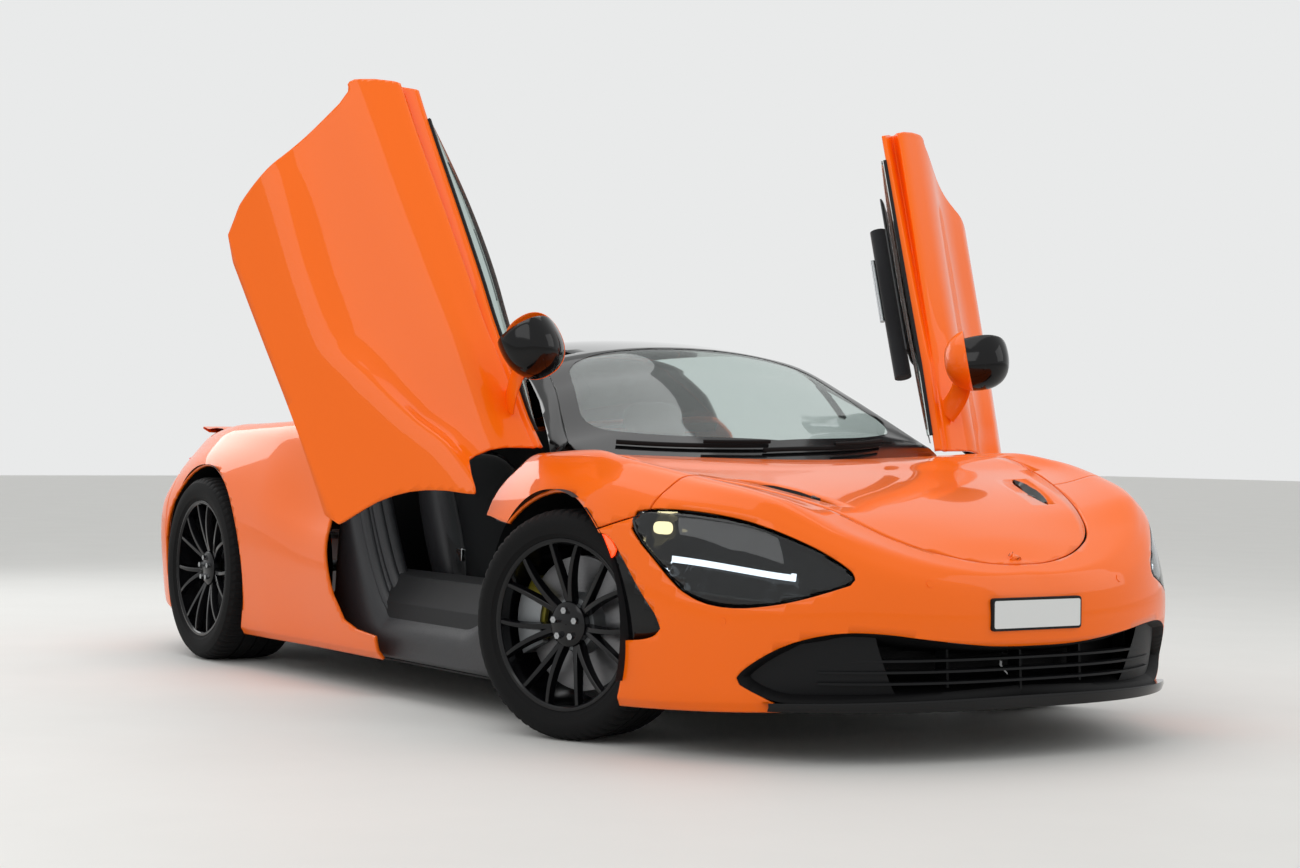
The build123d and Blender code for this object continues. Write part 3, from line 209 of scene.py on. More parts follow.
# ---------------------------------------------------------------- settings a user may change
class SupercarSizes(bpy.types.PropertyGroup):
    station_step: bpy.props.FloatProperty(
        name="Station step", description="Distance between the rows of points of a body surface",
        default=0.010, min=0.004, subtype="DISTANCE", unit="LENGTH")
    shut_gap: bpy.props.FloatProperty(
        name="Shut gap", description="Width of the gap between two panels",
        default=0.006, subtype="DISTANCE", unit="LENGTH")
    panel_edge: bpy.props.FloatProperty(
        name="Panel edge", description="Depth of the folded edge round a panel",
        default=0.010, subtype="DISTANCE", unit="LENGTH")
    tyre_blocks: bpy.props.IntProperty(
        name="Tread blocks", description="Sipes round each tyre", default=64, min=8)


class SupercarFinishes(bpy.types.PropertyGroup):
    paint: bpy.props.StringProperty(name="Paint", description="Body colour, sRGB hex", default="FF6A00")
    caliper: bpy.props.StringProperty(name="Calipers", description="Brake caliper colour, sRGB hex",
                                      default="6B6418")
    leather: bpy.props.StringProperty(name="Leather", description="Seat and trim colour, sRGB hex",
                                      default="1B1C1F")
    floor: bpy.props.StringProperty(name="Floor", description="Studio floor colour, sRGB hex",
                                    default="E4E4E2")


# ---------------------------------------------------------------- curves and grids
def smooth_rows(xs, rows, at):
    """Monotone cubic through the rows of a table: slopes are harmonic means of the neighbouring chords."""
    xs = np.asarray(xs, float)
    rows = np.asarray(rows, float)
    order = np.argsort(xs)
    xs, rows = xs[order], rows[order]
    step = np.diff(xs)[:, None]
    chord = np.diff(rows, axis=0) / step
    a, b = chord[:-1], chord[1:]
    same = a * b > 0
    middle = np.where(same, 2 * a * b / np.where(same, a + b, 1), 0)
    slope = np.vstack([chord[:1], middle, chord[-1:]])
    at = np.clip(np.asarray(at, float), xs[0], xs[-1])
    k = np.clip(np.searchsorted(xs, at) - 1, 0, len(xs) - 2)
    h = step[k]
    t = (at - xs[k])[:, None] / h
    return ((1 + 2 * t) * (1 - t) ** 2 * rows[k] + t * (1 - t) ** 2 * h * slope[k]
            + t * t * (3 - 2 * t) * rows[k + 1] + t * t * (t - 1) * h * slope[k + 1])


def rounded_profile(lines, share, bend=7, run=4):
    """Each row's polygon, its corners rounded by a parabola: share 1 starts the bend half way on a side."""
    lines = np.asarray(lines, float)
    parts = [lines[:, :1]]
    t = np.linspace(0, 1, bend)[None, :, None]
    last = lines[:, 0:1]
    for i in range(1, lines.shape[1] - 1):
        corner = lines[:, i:i + 1]
        start = corner + (lines[:, i - 1:i] - corner) * share[i] / 2
        end = corner + (lines[:, i + 1:i + 2] - corner) * share[i] / 2
        s = np.linspace(0, 1, run + 2)[None, 1:-1, None]
        parts.append(last + (start - last) * s)
        parts.append((1 - t) ** 2 * start + 2 * t * (1 - t) * corner + t * t * end)
        last = end
    s = np.linspace(0, 1, run + 2)[None, 1:, None]
    parts.append(last + (lines[:, -1:] - last) * s)
    return np.concatenate(parts, axis=1)


def rounded_outline(points, rounds=2):
    """Closed outline with each corner cut at a quarter of its sides, again and again."""
    p = np.asarray(points, float)
    for _ in range(rounds):
        q = np.roll(p, -1, axis=0)
        p = np.stack([0.75 * p + 0.25 * q, 0.25 * p + 0.75 * q], axis=1).reshape(-1, p.shape[1])
    return p


def inside_distance(points, outline):
    """Signed distance in a plane from points to a closed outline, positive inside it."""
    a = np.asarray(outline, float)
    b = np.roll(a, -1, axis=0)
    e = b - a
    result = np.empty(len(points))
    for k in range(0, len(points), 20000):
        p = points[k:k + 20000, None, :]
        d = p - a
        t = np.clip((d * e).sum(2) / np.maximum((e * e).sum(1), 1e-12), 0, 1)
        near = np.sqrt(((d - t[..., None] * e) ** 2).sum(2).min(1))
        crosses = (a[:, 1] > p[..., 1]) != (b[:, 1] > p[..., 1])
        at = a[:, 0] + (p[..., 1] - a[:, 1]) * e[:, 0] / np.where(e[:, 1] == 0, 1e-12, e[:, 1])
        inside = (crosses & (p[..., 0] < at)).sum(1) % 2 == 1
        result[k:k + 20000] = np.where(inside, near, -near)
    return result


def grid_triangles(rows, columns, close_rows=False, close_columns=False):
    """Two triangles for each cell of a grid of points."""
    r = np.arange(rows if close_rows else rows - 1)
    c = np.arange(columns if close_columns else columns - 1)
    r, c = np.meshgrid(r, c, indexing="ij")
    r, c = r.ravel(), c.ravel()
    r1, c1 = (r + 1) % rows, (c + 1) % columns
    a, b, d, e = r * columns + c, r1 * columns + c, r1 * columns + c1, r * columns + c1
    return np.vstack([np.stack([a, b, d], 1), np.stack([a, d, e], 1)])


def sheet_of(points, round_columns=False):
    """Vertices and triangles of a grid of points, its columns closed to a ring where asked."""
    return points.reshape(-1, 3), grid_triangles(*points.shape[:2], close_columns=round_columns)


def clip(surface, value):
    """Keeps where value is positive; crossed triangles are cut where it is zero, taken linear along edges."""
    v, t = surface
    inside = value[t] >= 0
    count = inside.sum(1)
    whole = t[count == 3]
    cut = t[(count == 1) | (count == 2)]
    if len(cut):
        flags = inside[(count == 1) | (count == 2)]
        lone = np.where(flags.sum(1) == 1, flags.argmax(1), (~flags).argmax(1))
        rows = np.arange(len(cut))
        a, b, c = cut[rows, lone], cut[rows, (lone + 1) % 3], cut[rows, (lone + 2) % 3]
        single = flags.sum(1) == 1
        ends = np.vstack([np.stack([a, b], 1), np.stack([a, c], 1)])
        keys, index = np.unique(np.sort(ends, axis=1), axis=0, return_inverse=True)
        index = index.ravel() + len(v)
        f0, f1 = value[keys[:, 0]], value[keys[:, 1]]
        share = (f0 / (f0 - f1))[:, None]
        fresh = v[keys[:, 0]] * (1 - share) + v[keys[:, 1]] * share
        ab, ac = index[:len(cut)], index[len(cut):]
        v = np.vstack([v, fresh])
        whole = np.vstack([whole, np.stack([a, ab, ac], 1)[single],
                           np.stack([ab, b, c], 1)[~single], np.stack([ab, c, ac], 1)[~single]])
    used, inverse = np.unique(whole, return_inverse=True)
    return v[used], inverse.reshape(-1, 3)


def trim(surface, view, outline, keep_inside=True, gap=0.0, only=None):
    """Trims a surface by an outline seen in one view; only says where the outline counts."""
    v = surface[0]
    value = inside_distance(v[:, view], outline)
    value = (value if keep_inside else -value) - gap
    if only is not None:
        value = np.where(only(v), value, -1.0 if keep_inside else 1.0)
    return clip(surface, value)


def past(surface, axis, level, side=1):
    """Keeps what lies past a level along one axis, on its high side or, with -1, its low one."""
    return clip(surface, (surface[0][:, axis] - level) * side)


def beyond(axis, limit):
    """For trim: where a coordinate is past a limit; y counts on both sides."""
    return lambda v: (np.abs(v[:, 1]) if axis == 1 else v[:, axis]) > limit


def from_front(points):
    """Points given from the front axle, moved to the car's frame."""
    return np.asarray(points, float) + np.array([FRONT_AXLE_X, 0])


def mirrored(half, flip):
    """Outline of one half followed back along its mirror image."""
    p = np.asarray(half, float)
    return np.vstack([p, (p * flip)[::-1]])


def both_sides(outline):
    """Both halves of an outline seen from above."""
    return mirrored(outline, [1, -1])


def both_ahead(outline):
    """Both halves of an outline seen from ahead."""
    return mirrored(outline, [-1, 1])


def flip_y(surface):
    """The same surface on the other side of the car, still facing outwards."""
    v, t = surface
    return v * [1, -1, 1], t[:, ::-1]


def join(*surfaces):
    """Several surfaces as one."""
    vs, ts, at = [], [], 0
    for v, t in surfaces:
        vs.append(v)
        ts.append(np.asarray(t) + at)
        at += len(v)
    return np.vstack(vs), np.vstack(ts)


def turn(points, origin, axis, angle):
    """Points turned about a line: Rodrigues' formula."""
    k = np.asarray(axis, float) / np.linalg.norm(axis)
    p = points - origin
    return (p * math.cos(angle) + np.cross(k, p) * math.sin(angle)
            + np.outer(p @ k, k) * (1 - math.cos(angle)) + origin)


def opened(surface):
    """A left door surface drawn shut, turned to where the open door stands."""
    return turn(surface[0], HINGE_POINT, HINGE_AXIS, DOOR_SWING), surface[1]


def normals_of(v, t):
    """Unit normal at each vertex: the sum of the cross products of its triangles."""
    n = np.zeros_like(v)
    f = np.cross(v[t[:, 1]] - v[t[:, 0]], v[t[:, 2]] - v[t[:, 0]])
    for k in range(3):
        np.add.at(n, t[:, k], f)
    return n / np.maximum(np.linalg.norm(n, axis=1, keepdims=True), 1e-12)


def moved_in(surface, depth):
    """Surface moved inwards along its own normals."""
    v, t = surface
    return v - normals_of(v, t) * depth, t


def cross_frames(path):
    """Two unit vectors across a path at each point, turned as little as possible along it."""
    path = np.asarray(path, float)
    tangent = np.gradient(path, axis=0)
    tangent /= np.linalg.norm(tangent, axis=1, keepdims=True)
    first = np.array([0, 0, 1.0]) if abs(tangent[0][2]) < 0.9 else np.array([1.0, 0, 0])
    side = np.empty_like(path)
    for i, t in enumerate(tangent):
        first = first - t * (first @ t)
        first /= np.linalg.norm(first)
        side[i] = first
    return side, np.cross(tangent, side)


def sweep(path, profile, caps=True):
    """Closed profile (two columns, metres) carried along a path, with flat ends."""
    path = np.asarray(path, float)
    a, b = cross_frames(path)
    profile = np.asarray(profile, float)
    v, t = sheet_of(path[:, None] + a[:, None] * profile[None, :, :1] + b[:, None] * profile[None, :, 1:],
                    True)
    if caps:
        n = len(profile)
        v = np.vstack([v, path[:1], path[-1:]])
        k = np.arange(n)
        last = (len(path) - 1) * n
        t = np.vstack([t, np.stack([np.full(n, len(v) - 2), k, (k + 1) % n], 1),
                       np.stack([np.full(n, len(v) - 1), last + (k + 1) % n, last + k], 1)])
    return v, t


def circle(radius, count=12):
    """Round profile; a pair of radii makes it oval."""
    a = np.linspace(0, 2 * math.pi, count, endpoint=False)
    return np.stack([np.cos(a), np.sin(a)], 1) * radius


def flat(half_thick, half_wide):
    """Flat profile."""
    return np.array([(-half_thick, -half_wide), (half_thick, -half_wide), (half_thick, half_wide),
                     (-half_thick, half_wide)])


def bar(start, end, radius, count=16):
    """Round bar between two points."""
    return sweep(np.array([start, end], float), circle(radius, count))


def spun(profile, count=96):
    """Closed outline of (along, radius) turned about the y axis."""
    p = np.asarray(profile, float)
    a = np.linspace(0, 2 * math.pi, count, endpoint=False)
    ring = np.stack([np.outer(np.cos(a), p[:, 1]), np.tile(p[:, 0], (count, 1)),
                     np.outer(np.sin(a), p[:, 1])], 2)
    return ring.reshape(-1, 3), grid_triangles(count, len(p), close_rows=True, close_columns=True)


def smooth_path(path, across, degree=3):
    """Path whose other two coordinates follow a low polynomial of one of them, by least squares."""
    path = np.asarray(path, float)
    fair = path.copy()
    for k in range(3):
        if k != across:
            fair[:, k] = np.polyval(np.polyfit(path[:, across], path[:, k], degree), path[:, across])
    return fair


def rounded_box(y0, y1, z0, z1, radius, count=6):
    """Rectangle whose corners are quarter circles."""
    a = np.linspace(0, math.pi / 2, count)
    corners = ((y1 - radius, z1 - radius, 0), (y0 + radius, z1 - radius, 1), (y0 + radius, z0 + radius, 2),
               (y1 - radius, z0 + radius, 3))
    return np.vstack([np.stack([y + radius * np.cos(a + k * math.pi / 2),
                                z + radius * np.sin(a + k * math.pi / 2)], 1) for y, z, k in corners])


def prism(outline, low, high, axis=1):
    """Closed outline in the plane across one axis, carried along it; each end is a fan about its middle."""
    o = np.asarray(outline, float)
    n = len(o)
    other = [k for k in range(3) if k != axis]
    v = np.zeros((2 * n + 2, 3))
    for row, level in ((0, low), (1, high)):
        v[row * n:(row + 1) * n, other] = o
        v[row * n:(row + 1) * n, axis] = level
        v[2 * n + row, other] = o.mean(0)
        v[2 * n + row, axis] = level
    k = np.arange(n)
    m = (k + 1) % n
    t = np.vstack([np.stack([k, m, m + n], 1), np.stack([k, m + n, k + n], 1),
                   np.stack([np.full(n, 2 * n), m, k], 1),
                   np.stack([np.full(n, 2 * n + 1), k + n, m + n], 1)])
    return v, t


def brick(x0, x1, y0, y1, z0, z1):
    """Block between two corners."""
    return prism([(y0, z0), (y1, z0), (y1, z1), (y0, z1)], x0, x1, axis=0)


# ---------------------------------------------------------------- pieces
def piece(name, surface, finish, body="chassis", edge=0.0, bevel=0.0, stands_for=(), slot=None, sharp=35.0,
          closed=False, levels=0):
    """Makes a mesh object, with its faces turned outwards, and hands it to its body."""
    v, t = surface
    mesh = bpy.data.meshes.new(name)
    mesh.from_pydata(np.asarray(v, float).tolist(), [], np.asarray(t).tolist())
    work = bmesh.new()
    work.from_mesh(mesh)
    bmesh.ops.remove_doubles(work, verts=work.verts, dist=0.00005)
    bmesh.ops.dissolve_degenerate(work, edges=work.edges, dist=0.00003)
    loose = [p for p in work.verts if not p.link_faces]
    bmesh.ops.delete(work, geom=loose, context="VERTS")
    if closed:
        bmesh.ops.recalc_face_normals(work, faces=work.faces)
    work.to_mesh(mesh)
    work.free()
    mesh.shade_smooth()
    mesh.set_sharp_from_angle(angle=math.radians(sharp))
    thing = bpy.data.objects.new(name, mesh)
    bpy.context.scene.collection.objects.link(thing)
    thing.data.materials.append(bpy.data.materials[finish])
    if levels:
        sub = thing.modifiers.new("Round", "SUBSURF")
        sub.levels = sub.render_levels = levels
    if edge:
        wall = thing.modifiers.new("Edge", "SOLIDIFY")
        wall.thickness = edge
        wall.offset = -1
        wall.use_even_offset = False
    if bevel:
        soft = thing.modifiers.new("Softened", "BEVEL")
        soft.width = bevel
        soft.segments = 2
        soft.limit_method = "ANGLE"
        soft.angle_limit = math.radians(40)
    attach(thing, body)
    if stands_for:
        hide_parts(*stands_for)
    return thing


def solid(name, surface, finish, body="chassis", **more):
    """A piece whose surface is closed."""
    return piece(name, surface, finish, body, closed=True, **more)


def painted(name, surface, body="chassis", edge=0.0, stands_for=(), closed=False):
    """A piece in the body colour."""
    return piece(name, surface, "pearl_enamel", body, edge=edge, stands_for=stands_for, closed=closed,
                 slot="paint_orange")


# ---------------------------------------------------------------- finishes
def linear(text):
    """sRGB hex to linear colour."""
    c = np.array([int(text[k:k + 2], 16) for k in (0, 2, 4)]) / 255
    c = np.where(c <= 0.04045, c / 12.92, ((c + 0.055) / 1.055) ** 2.4)
    return (*c.tolist(), 1.0)


def add(tree, kind, settings=None, inputs=None, links=()):
    """Adds a node, sets its own settings and socket values, and links (from node, socket, to socket)."""
    n = tree.nodes.new(kind)
    for key, value in (settings or {}).items():
        setattr(n, key, value)
    for key, value in (inputs or {}).items():
        n.inputs[key].default_value = value
    for source, out, into in links:
        tree.links.new(source.outputs[out], n.inputs[into])
    return n


PATTERNS = {  # node, its settings, its sockets, the output that is read
    "noise": ("ShaderNodeTexNoise", None, {"Detail": 4.0, "Roughness": 0.6}, "Fac"),
    "cells": ("ShaderNodeTexVoronoi", {"feature": "F1"}, {}, "Distance"),
    "weave": ("ShaderNodeTexChecker", None, {}, "Fac"),
    "rings": ("ShaderNodeTexWave", {"wave_type": "RINGS", "rings_direction": "Y"}, {"Distortion": 0.3},
              "Fac"),
}


def finish(name, colour, other, scale=200.0, roughness=0.4, spread=0.1, metallic=0.0, bump=0.0,
           pattern="noise", bump_size=0.001, specular=0.5, coat=0.0, coat_roughness=0.03, glow=None,
           **sockets):
    """Principled surface whose colour and roughness vary with a pattern of a real size.

    scale is cells per metre; glow is the colour and the strength of what lights itself.
    """
    material = bpy.data.materials.new(name)
    material.use_nodes = True
    tree = material.node_tree
    tree.nodes.clear()
    place = add(tree, "ShaderNodeTexCoord")
    kind, settings, inputs, value = PATTERNS[pattern]
    tex = add(tree, kind, settings, {"Scale": scale, **inputs}, [(place, "Object", "Vector")])
    ramp = add(tree, "ShaderNodeMapRange", None,
               {"To Min": max(roughness - spread, 0.01), "To Max": min(roughness + spread, 1.0)},
               [(tex, value, "Value")])
    if glow:
        sockets.update({"Emission Color": linear(glow[0]), "Emission Strength": glow[1]})
    shader = add(tree, "ShaderNodeBsdfPrincipled", None,
                 {"Metallic": metallic, "Specular IOR Level": specular, "Coat Weight": coat,
                  "Coat Roughness": coat_roughness, **sockets}, [(ramp, "Result", "Roughness")])
    blend = add(tree, "ShaderNodeMix", {"data_type": "RGBA"}, None, [(tex, value, "Factor")])
    blend.inputs[6].default_value = linear(colour)
    blend.inputs[7].default_value = linear(other)
    tree.links.new(blend.outputs[2], shader.inputs["Base Color"])
    if bump:
        relief = add(tree, "ShaderNodeBump", None, {"Strength": bump, "Distance": bump_size},
                     [(tex, value, "Height")])
        tree.links.new(relief.outputs["Normal"], shader.inputs["Normal"])
    add(tree, "ShaderNodeOutputMaterial", None, None, [(shader, "BSDF", "Surface")])
    return material


def make_finishes(colours):
    """Every finish, named for what the real one is."""

    # sprayed pearl enamel under clear lacquer: warm body, sharp reflections, faint flake
    finish("pearl_enamel", colours.paint, "FF7208", scale=900, roughness=0.42, spread=0.03, specular=0.1,
           coat=0.7, **{"Coat IOR": 1.38})
    # polished black lacquer: only reflections show
    finish("black_lacquer", "060607", "0A0A0C", scale=300, roughness=0.10, spread=0.03, specular=0.28)
    # moulded black plastic: fine grain, dull
    finish("moulded_plastic", "101113", "17181A", scale=1400, roughness=0.55, spread=0.1, bump=0.25,
           bump_size=0.0004, specular=0.2)
    # woven carbon fibre under resin: twill of 2 mm tows, drawn at 5 mm so that it shows
    finish("carbon_twill", "0A0B0D", "1A1C20", scale=200, roughness=0.22, spread=0.05, pattern="weave",
           coat=1.0, coat_roughness=0.05)
    # needled carpet: soft dark pile
    finish("needled_carpet", "141416", "26272A", scale=900, roughness=0.95, spread=0.05, bump=0.8,
           bump_size=0.002, **{"Sheen Weight": 0.3})
    # vulcanised rubber: black, slightly grey where dusty
    finish("vulcanised_rubber", "0B0B0C", "141415", scale=160, roughness=0.8, spread=0.1, bump=0.3,
           bump_size=0.0006, specular=0.2)
    # forged aluminium in gloss black enamel
    finish("black_alloy", "08080A", "0D0D10", scale=250, roughness=0.16, spread=0.05, specular=0.32)
    # bare cast aluminium: grey, grainy
    finish("cast_aluminium", "8C8F92", "A3A6A8", scale=500, roughness=0.5, spread=0.15, metallic=1.0,
           bump=0.2)
    # ground iron disc: fine rings
    finish("ground_iron", "6A6A6C", "8A8A8C", scale=90, roughness=0.32, spread=0.1, metallic=1.0,
           pattern="rings", bump=0.1)
    # caliper enamel: olive gold, satin
    finish("caliper_enamel", colours.caliper, "7D7420", scale=300, roughness=0.35, spread=0.08, metallic=0.5)
    # leather: pebbled grain of 2 mm cells, drawn at 3 mm
    finish("grained_leather", colours.leather, "28292D", scale=330, roughness=0.5, spread=0.12,
           pattern="cells", bump=0.35, bump_size=0.0008)
    # suede microfibre: soft and dull
    finish("suede_microfibre", "17181B", "24262A", scale=700, roughness=0.95, spread=0.04, bump=0.3,
           **{"Sheen Weight": 0.6, "Sheen Roughness": 0.4})
    # brushed stainless steel
    finish("brushed_steel", "9A9C9E", "B8BABC", scale=400, roughness=0.25, spread=0.08, metallic=1.0)
    # heat-tinted exhaust titanium: straw to blue-grey
    finish("tinted_titanium", "6E665C", "8C8478", scale=30, roughness=0.3, spread=0.1, metallic=1.0)
    # white reflective sheet of a blank plate
    finish("plate_sheet", "D6D8D8", "E2E4E4", scale=900, roughness=0.4, spread=0.05, bump=0.1)
    # galvanised mesh in black powder coat
    finish("powder_coat", "08080A", "0D0D0E", scale=900, roughness=0.6, spread=0.1, bump=0.2, specular=0.15)
    # mirror glass
    finish("mirror_glass", "C8CCD0", "D0D4D8", scale=3, roughness=0.03, spread=0.01, metallic=1.0)
    clear = {"Transmission Weight": 1.0, "IOR": 1.45}
    # laminated windscreen and tempered side glass: faint green-grey tint
    finish("tinted_glass", "C4D2CE", "BCCAC6", scale=4, roughness=0.02, spread=0.01, **clear)
    # smoked roof glass
    finish("smoked_glass", "14171A", "1A1D20", scale=4, roughness=0.04, spread=0.01, coat=1.0,
           coat_roughness=0.02)
    # polycarbonate lamp cover
    finish("clear_lens", "8A9296", "848C90", scale=4, roughness=0.02, spread=0.01, **clear)
    # red acrylic tail lamp
    finish("red_acrylic", "A00A08", "B8100C", scale=60, roughness=0.15, spread=0.05, glow=("FF2010", 0.5),
           coat=1.0)
    # lit light guide of the day lamp
    finish("lit_guide", "FFFFFF", "F4F8FF", scale=60, roughness=0.4, spread=0.05, glow=("F4F8FF", 5.0))
    # lit projector: warm glass
    finish("lit_projector", "FFF2D6", "FFE8B8", scale=60, roughness=0.1, spread=0.03, glow=("FFE6B0", 5.0))
    # amber side marker
    finish("amber_acrylic", "FF4A10", "FF5A18", scale=60, roughness=0.2, spread=0.05, glow=("FF3C10", 1.6),
           coat=1.0)
    # display glass, dark
    finish("display_glass", "08090B", "0B0D10", scale=5, roughness=0.08, spread=0.03, coat=1.0)
    # woven belt webbing
    finish("belt_webbing", "1A1A1C", "2A2A2D", scale=600, roughness=0.8, spread=0.05, pattern="weave",
           bump=0.5)


CAD_FINISHES = {"arch_liners": "moulded_plastic", "underfloor": "moulded_plastic", "tub": "moulded_plastic",
                "luggage_tub": "needled_carpet", "dashboard": "suede_microfibre", "engine": "cast_aluminium",
                "front_suspension": "cast_aluminium", "rear_suspension": "cast_aluminium",
                "knuckle_left": "cast_aluminium", "knuckle_right": "cast_aluminium",
                "exhausts": "tinted_titanium", "diffuser": "carbon_twill", "rear_grille": "powder_coat",
                "front_splitter": "black_lacquer", "front_grille": "powder_coat", "seats": "grained_leather",
                "windscreen": "tinted_glass", "rear_glass": "tinted_glass", "door_glass_left": "tinted_glass",
                "door_glass_right": "tinted_glass", "roof": "smoked_glass", "headlamps": "black_lacquer",
                "tail_lamps": "red_acrylic", "engine_cover": "moulded_plastic"}
FINISH_BY_START = {"tyre": "vulcanised_rubber", "rim": "black_alloy", "mirror": "black_lacquer"}


def dress_solids():
    """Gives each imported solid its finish."""
    for name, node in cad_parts.items():
        kind = CAD_FINISHES.get(name)
        if kind is None:
            kind = FINISH_BY_START.get(name.split("_")[0], "pearl_enamel")
        node.data.materials.clear()
        node.data.materials.append(bpy.data.materials[kind])


# ---------------------------------------------------------------- body surfaces
def body_lines(table, origin_x, at):
    """Seven lines of the left half at the given x: floor, rocker, waist, cheek, crest, deck, centre."""
    table = np.asarray(table)
    r = smooth_rows(table[:, 0], table[:, 1:], np.asarray(at) - origin_x).T
    y = np.stack([HALF_WIDTH - r[1] - .025, HALF_WIDTH - r[1], HALF_WIDTH - r[3], HALF_WIDTH - r[5], r[7],
                  r[9], 0 * r[0]], 1)
    z = np.stack([r[0], r[2], r[4], r[6], r[8], r[10], r[11]], 1)
    return y, z


BODY_SHARE = (0, .5, .9, .8, .55, .95, 1.0, .95, .55, .8, .9, .5, 0)


def full_width(x, y, z):
    """Lines of the left half followed over the centre to the right half."""
    left = np.stack([x, y, z], 2)
    right = left[:, :-1] * [1, -1, 1]
    return np.concatenate([left, right[:, ::-1]], axis=1)


def front_surface(step):
    """Front body: straight to where the nose starts to round, then each line follows the plan of the nose."""
    straight = np.arange(FRONT_AXLE_X - .46, NOSE_ROUND_X, step)
    theta = np.linspace(0, math.pi / 2, 150)
    forward = np.concatenate([0 * straight, np.sin(theta) ** NOSE_SINE_POWER])
    share = np.concatenate([0 * straight + 1, np.maximum(np.cos(theta), 0) ** NOSE_COSINE_POWER])
    start = np.concatenate([straight, 0 * theta + NOSE_ROUND_X])
    nominal = start + (NOSE_X - NOSE_ROUND_X) * forward
    y, z = body_lines(FRONT_SECTIONS, FRONT_AXLE_X, nominal)
    x = nominal[:, None] - np.asarray(NOSE_SETBACK) * (1 - share[:, None])
    for k in (4, 5, 6):
        z[:, k] = body_lines(FRONT_SECTIONS, FRONT_AXLE_X, x[:, k])[1][:, k]
    lines = full_width(x, y * share[:, None], z)
    return sheet_of(rounded_profile(lines, BODY_SHARE)[:, ::-1])


def hollow(surface, view, outline, depth, run):
    """The part of a surface 1 mm inside an outline, sunk smoothly from its edge to a depth over a run."""
    v, t = trim(surface, view, outline, gap=.001)
    s = np.clip(inside_distance(v[:, view], outline) / run, 0, 1)
    return v - normals_of(v, t) * (depth * s * s * (3 - 2 * s))[:, None], t


def point_on(surface, view, place):
    """The surface's point nearest to a place in one view, the foremost or topmost of the near ones."""
    v = surface[0]
    near = np.linalg.norm(v[:, view] - np.asarray(place), axis=1)
    few = np.flatnonzero(near < near.min() + .006)
    third = 3 - view[0] - view[1]
    return v[few[np.argmax(v[few, third])]]


def tail_share(x):
    """Share of the full width that the tail keeps at x: a rounded corner in plan."""
    t = np.clip((TAIL_ROUND_X - x) / (TAIL_ROUND_X - TAIL_X), 0, 1)
    return 1 - 0.34 * t ** 3.0


def rear_surface(step):
    """Rear body from the doors' back edge to the tail, its plan rounded at the corners."""
    x = np.concatenate([np.arange(TAIL_X, TAIL_ROUND_X, step * .7),
                        np.arange(TAIL_ROUND_X, REAR_AXLE_X + 1.466, step)])
    y, z = body_lines(REAR_SECTIONS, REAR_AXLE_X, x)
    lines = full_width(np.repeat(x[:, None], 7, 1), y * tail_share(x)[:, None], z)
    return sheet_of(rounded_profile(lines, BODY_SHARE)[:, ::-1])


def tail_face():
    """Closes the tail: each point of the last section's edge is joined straight down to one low level."""
    y, z = body_lines(REAR_SECTIONS, REAR_AXLE_X, np.array([TAIL_X]))
    ring = rounded_profile(full_width(np.full((1, 7), TAIL_X), y * tail_share(TAIL_X), z), BODY_SHARE)[0]
    middle = ring * [1, 1, 0] + [0, 0, TAIL_FACE_Z]
    s = np.linspace(0, 1, 30)[:, None, None]
    return sheet_of(ring[None] * (1 - s) + middle[None] * s)


def canopy_surface(step):
    """Glasshouse: belt, side glass, rail and crown lines over the whole width."""
    table = np.asarray(CANOPY_SECTIONS)
    x = np.arange(table[-1, 0], table[0, 0], step)
    belt_y, belt_z, rail_y, rail_z, crown_z = smooth_rows(table[:, 0], table[:, 1:], x).T
    mid_y, mid_z = belt_y * .45 + rail_y * .55 + .012, belt_z * .45 + rail_z * .55 + .010
    y = np.stack([belt_y - .02, belt_y, mid_y, rail_y, rail_y * .5, 0 * x], 1)
    z = np.stack([0 * x + .62, belt_z, mid_z, rail_z, rail_z + (crown_z - rail_z) * .78, crown_z], 1)
    lines = full_width(np.repeat((FRONT_AXLE_X + x)[:, None], 6, 1), y, z)
    return sheet_of(rounded_profile(lines, (0, .3, 1, .8, 1, 1, 1, .8, 1, .3, 0))[:, ::-1])


def cowl_outline():
    """What the windscreen's foot and the cabin cover, seen from above."""
    return both_sides([*COWL_LINE, (.3, .80), (-.2, .80), (-.2, 0)])[:-1]


outboard = beyond(1, OUTBOARD_Y)
DOOR_EDGE = rounded_outline(from_front(DOOR_OUTLINE), 1)
VENT_EDGE = rounded_outline(from_front(VENT_OUTLINE), 3)
HOOD_VENT_EDGE = rounded_outline(from_front(HOOD_VENT))
LAMP_EDGE = rounded_outline(LAMP_OUTLINE)


def arch_cut(surface, radius, axle_x=FRONT_AXLE_X, axle_z=FRONT_RADIUS):
    """A surface without what a wheel arch takes from it."""
    return trim(surface, SIDE, circle(radius, 72) + [axle_x, axle_z], False, only=outboard)


def front_cut(surface):
    """Front body without the wheel arches, the doors' room and what lies under the windscreen."""
    surface = trim(arch_cut(surface, .376), SIDE, DOOR_EDGE, False, gap=.012, only=outboard)
    return trim(surface, PLAN, cowl_outline(), False)


